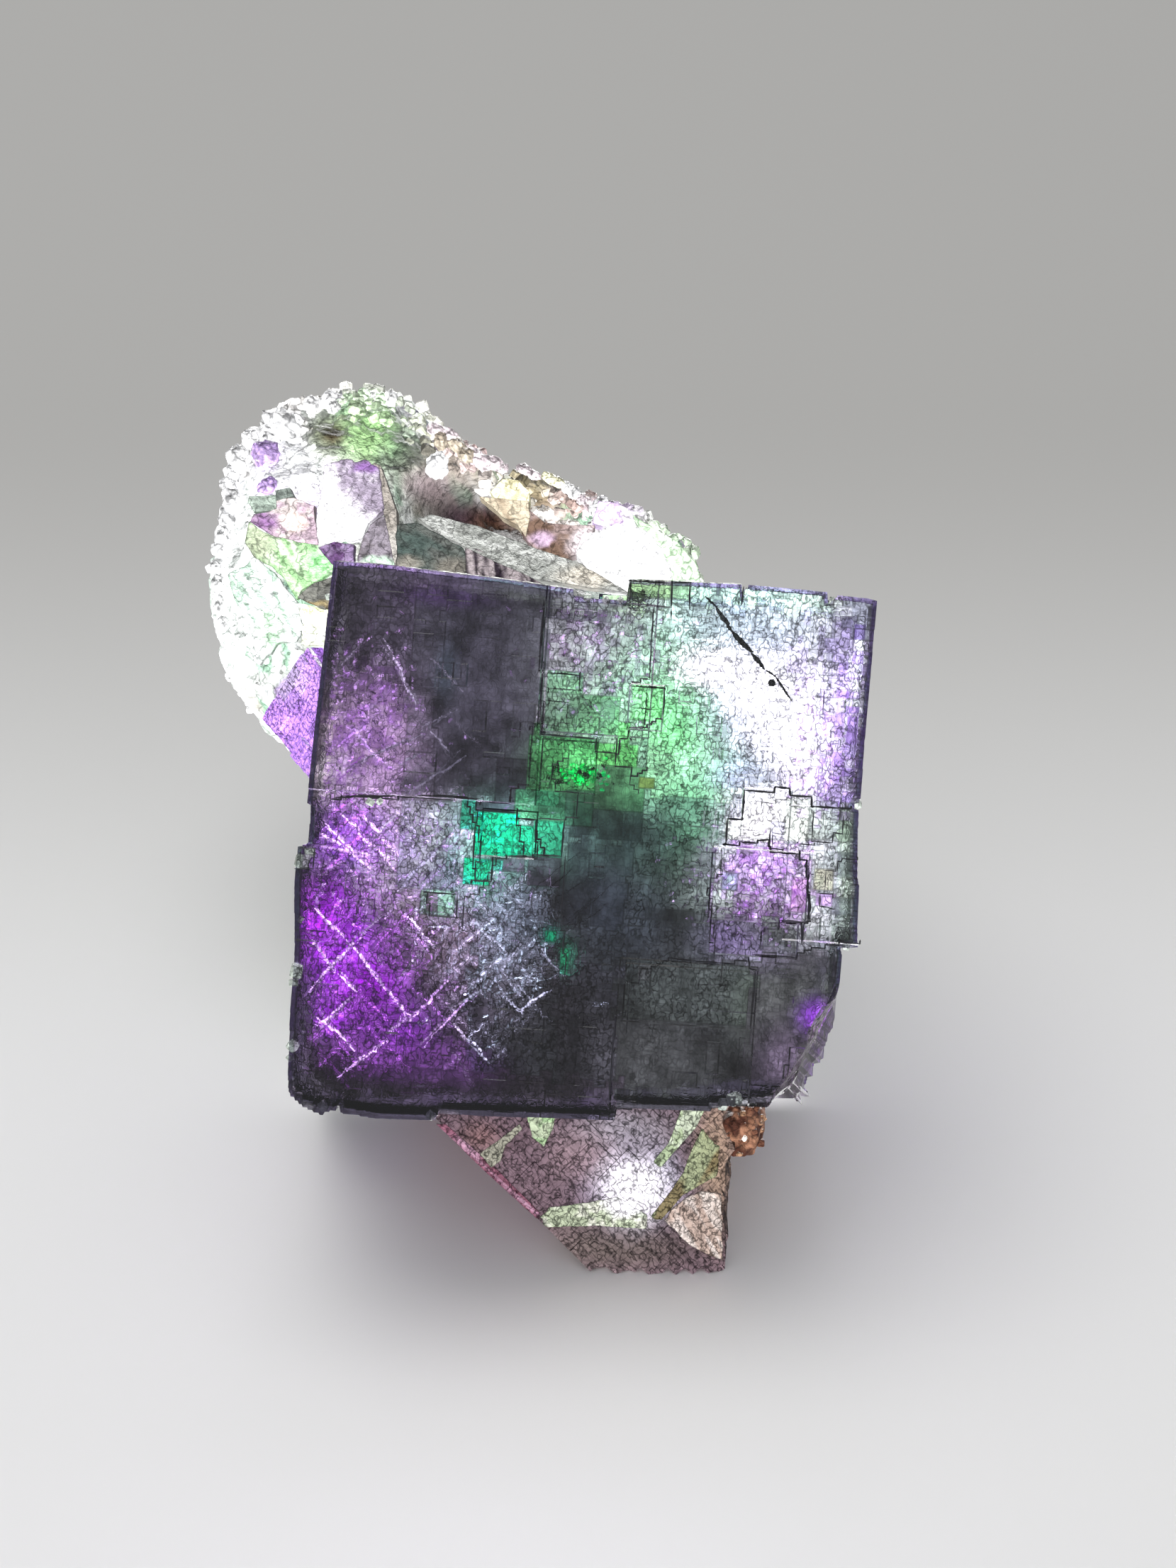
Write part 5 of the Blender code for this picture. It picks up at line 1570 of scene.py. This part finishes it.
# Rounded crystals along the rim: middle, radii and turn, with a tone each.
rimBeads = [
    (-20.9, 29.0, -30.0, 1.6, 1.05, 1.6, -35, 0), (-22.0, 28.5, -30.0, 0.8, 0.7, 1.0, 0, 0),
    (-23.4, 28.2, -30.0, 0.62, 0.64, 0.7, 0, 0), (-24.2, 26.8, -30.0, 0.85, 1.0, 1.0, 10, 0),
    (-24.7, 25.8, -30.0, 0.65, 0.65, 0.8, 0, 0), (-25.0, 25.0, -30.0, 0.56, 0.52, 0.8, 0, 0),
    (-24.7, 23.9, -30.0, 0.75, 0.85, 1.0, 0, 0), (-25.0, 22.7, -30.5, 0.72, 0.96, 1.0, 8, 0),
    (-25.4, 21.4, -30.5, 0.64, 0.72, 0.9, 0, 0), (-25.6, 20.4, -31.0, 0.64, 0.64, 0.9, 0, 0),
    (-25.8, 19.3, -31.0, 0.54, 0.54, 0.8, 0, 0), (-25.7, 18.0, -31.0, 0.58, 0.85, 1.0, 5, 0),
    (-25.5, 16.4, -31.0, 0.58, 1.0, 1.0, 0, 0), (-25.4, 15.0, -31.0, 0.58, 0.85, 1.0, -5, 0),
    (-25.0, 13.6, -31.0, 0.64, 0.96, 1.0, -10, 0), (-24.6, 12.3, -31.0, 0.64, 0.7, 1.0, -15, 0),
    (-24.0, 11.3, -31.0, 0.6, 0.66, 1.0, -20, 0), (-19.1, 30.6, -30.0, 0.6, 0.6, 0.6, 0, 0),
    (-18.5, 30.7, -30.3, 0.48, 0.48, 0.5, 0, 0), (-17.8, 31.1, -30.0, 0.54, 0.58, 0.5, 0, 0),
    (-17.2, 30.8, -30.2, 0.54, 0.54, 0.5, 0, 0), (-16.6, 31.0, -30.0, 0.42, 0.42, 0.5, 0, 1),
    (-15.4, 31.3, -30.0, 0.48, 0.48, 0.5, 0, 1), (-14.8, 31.1, -30.2, 0.45, 0.45, 0.5, 0, 0),
    (-14.2, 30.9, -30.0, 0.48, 0.54, 0.5, 0, 1), (-13.5, 31.1, -30.0, 0.42, 0.62, 0.5, 0, 0),
    (-20.1, 29.6, -29.5, 0.54, 0.38, 0.5, -20, 0), (-14.2, 29.8, -29.0, 0.54, 0.48, 0.5, 0, 1),
    (-15.8, 30.6, -29.5, 0.4, 0.4, 0.5, 0, 1), (-17.5, 30.3, -29.3, 0.48, 0.48, 0.5, 0, 0),
    (-10.1, 28.6, -28.0, 0.8, 0.45, 0.6, -20, 2), (-9.3, 28.3, -28.0, 0.75, 0.45, 0.6, -25, 2),
    (-9.9, 27.9, -27.6, 0.45, 0.69, 0.5, 10, 3), (-8.8, 27.6, -27.8, 0.7, 0.48, 0.6, -35, 3),
    (-8.1, 26.9, -27.6, 0.62, 0.51, 0.6, -30, 3), (-7.5, 27.0, -28.0, 0.6, 0.41, 0.6, -30, 2),
    (-7.0, 26.4, -27.8, 0.7, 0.58, 0.6, -25, 2), (-6.2, 26.3, -28.0, 0.75, 0.48, 0.6, -20, 2),
    (-5.6, 26.0, -28.0, 0.45, 0.38, 0.5, -20, 2), (-4.0, 25.9, -28.0, 0.58, 0.36, 0.5, -30, 2),
    (-3.4, 25.5, -28.0, 0.5, 0.33, 0.5, -30, 2), (-2.3, 25.3, -28.0, 0.6, 0.38, 0.5, -35, 4),
    (-1.7, 25.0, -28.0, 0.58, 0.38, 0.5, -35, 4), (-1.0, 24.6, -28.0, 0.48, 0.41, 0.5, -40, 0),
    (-0.5, 24.2, -28.0, 0.45, 0.45, 0.5, 0, 0), (0.0, 23.8, -28.0, 0.34, 0.41, 0.5, 0, 2),
    (0.5, 23.7, -28.0, 0.26, 0.28, 0.4, 0, 2), (-10.1, 26.1, -26.8, 0.8, 0.9, 0.6, 0, 0),
    (1.4, 23.3, -27.0, 0.58, 0.62, 0.5, 0, 0), (1.0, 23.0, -26.8, 0.48, 0.51, 0.5, 0, 0),
    (-12.4, 28.4, -29.0, 0.7, 0.7, 0.6, 0, 5), (-12.2, 26.9, -28.0, 0.62, 0.51, 0.6, 0, 5),
    (-22.2, 27.0, -28.3, 0.9, 1.0, 0.5, 0, 6), (-22.0, 24.6, -26.6, 0.7, 0.55, 0.4, 30, 6),
]
beadTones = np.array([white, (0.66, 0.84, 0.60), (0.84, 0.74, 0.78), (0.46, 0.40, 0.32), (0.92, 0.90, 0.66),
                      (0.42, 0.50, 0.40), (0.50, 0.36, 0.66)])
tones = beadTones[[ball[7] for ball in rimBeads]]
makeBalls("rim_beads", [ball[:7] for ball in rimBeads], 26, 16, 0.30, (tones * 0.34, tones * 0.82),
          stoneShader("beadFluorite", 0.84, 0.2, 1.2), 121)

# Iron-stained nodule at the break of the lower cube.
nodulePoints = makeBalls("brown_nodule", [(10.7, -18.7, -14.5, 1.7, 2.4, 3.0, 0)], 90, 50, 0.16,
                         (np.array([[0.06, 0.022, 0.014]]), np.array([[0.26, 0.13, 0.08]])),
                         stoneShader("ironStain", 0.45, 0.6, 2.2), 101)
rng = np.random.default_rng(104)
chosen = rng.choice(len(nodulePoints), 46)
shades = np.array([(0.80, 0.76, 0.70), (0.26, 0.15, 0.09), (0.12, 0.05, 0.03)])
shades = shades[rng.choice(3, 46, p=[0.3, 0.4, 0.3])]
scatterCrystals("nodule_beads", nodulePoints[chosen], rng.uniform(0.10, 0.26, 46), shades,
                stoneShader("noduleBeadStone", 0.5, 0.35, 3.0), 105)


# studio: pale floor, greyer behind by painted shade, and soft light
floorMesh = bpy.data.meshes.new("floor")
floorMesh.from_pydata([(-3, -3, 0), (3, -3, 0), (3, 3, 0), (-3, 3, 0)], [], [(0, 1, 2, 3)])
floor = bpy.data.objects.new("floor", floorMesh)
bpy.context.scene.collection.objects.link(floor)
s = Shader("floorPaper")
coords = s.node("ShaderNodeTexCoord", output=3)
away = s.node("ShaderNodeSeparateXYZ", None, {0: coords}, output=1)
# painted shade: the paper runs from pale in front to grey behind the specimen
shadedPaper = s.mix(s.spread(away, -0.02, 0.09), (0.86, 0.85, 0.83, 1.0), (0.44, 0.43, 0.41, 1.0))
s.surface(s.skin(shadedPaper, 0.8))
floorMesh.materials.append(s.material)


def areaLight(name, at, aim, size, watts, colour=(1.0, 1.0, 1.0)):
    lamp = bpy.data.lights.new(name, "AREA")
    lamp.shape = "RECTANGLE"
    lamp.size, lamp.size_y = size
    lamp.energy = watts
    lamp.color = colour
    holder = bpy.data.objects.new(name, lamp)
    bpy.context.scene.collection.objects.link(holder)
    holder.location = at
    holder.rotation_euler = (Vector(aim) - Vector(at)).to_track_quat("-Z", "Y").to_euler()
    holder.visible_camera = False
    return holder


# The low light behind shines only on the specimen and only the floor stops it, so that it fills the
# crystals.
backLight = areaLight("backLight", (0.05, 0.45, 0.10), (0, 0, 0.02), (0.5, 0.14), 22.0)
unlit = bpy.data.collections.new("lightStops")
unlit.objects.link(floor)
backLight.light_linking.receiver_collection = litPieces
backLight.light_linking.blocker_collection = unlit
areaLight("topLight", (-0.15, 0.1, 0.7), (0, 0, 0), (0.6, 0.6), 2.2)
world = bpy.data.worlds.new("studio")
bpy.context.scene.world = world
world.use_nodes = True
world.node_tree.nodes["Background"].inputs[0].default_value = (0.95, 0.97, 1.0, 1.0)
world.node_tree.nodes["Background"].inputs[1].default_value = 0.6

# The camera looks square at the crystal frame's front, at x and y in mm, where the picture's height spans
# frameHeight.
shot = {"x": 0.43, "y": 3.8, "distance": 280.0, "frameHeight": 100.09}
camera = bpy.data.cameras.new("camera")
camera.sensor_width = 36.0
camera.lens = 36.0 * shot["distance"] / shot["frameHeight"]
cameraHolder = bpy.data.objects.new("camera", camera)
bpy.context.scene.collection.objects.link(cameraHolder)
eye = place(np.array([[shot["x"], shot["y"], shot["distance"]]]))[0]
cameraHolder.matrix_world = Matrix.Translation(Vector(eye)) @ Matrix.Rotation(stance["tilt"], 4, "X")
bpy.context.scene.camera = cameraHolder
bpy.context.scene.view_settings.view_transform = "Standard"
bpy.context.scene.cycles.sample_clamp_indirect = 4.0
bpy.context.scene.cycles.max_bounces = 12
bpy.context.scene.cycles.transmission_bounces = 12

bpy.context.view_layer.update()
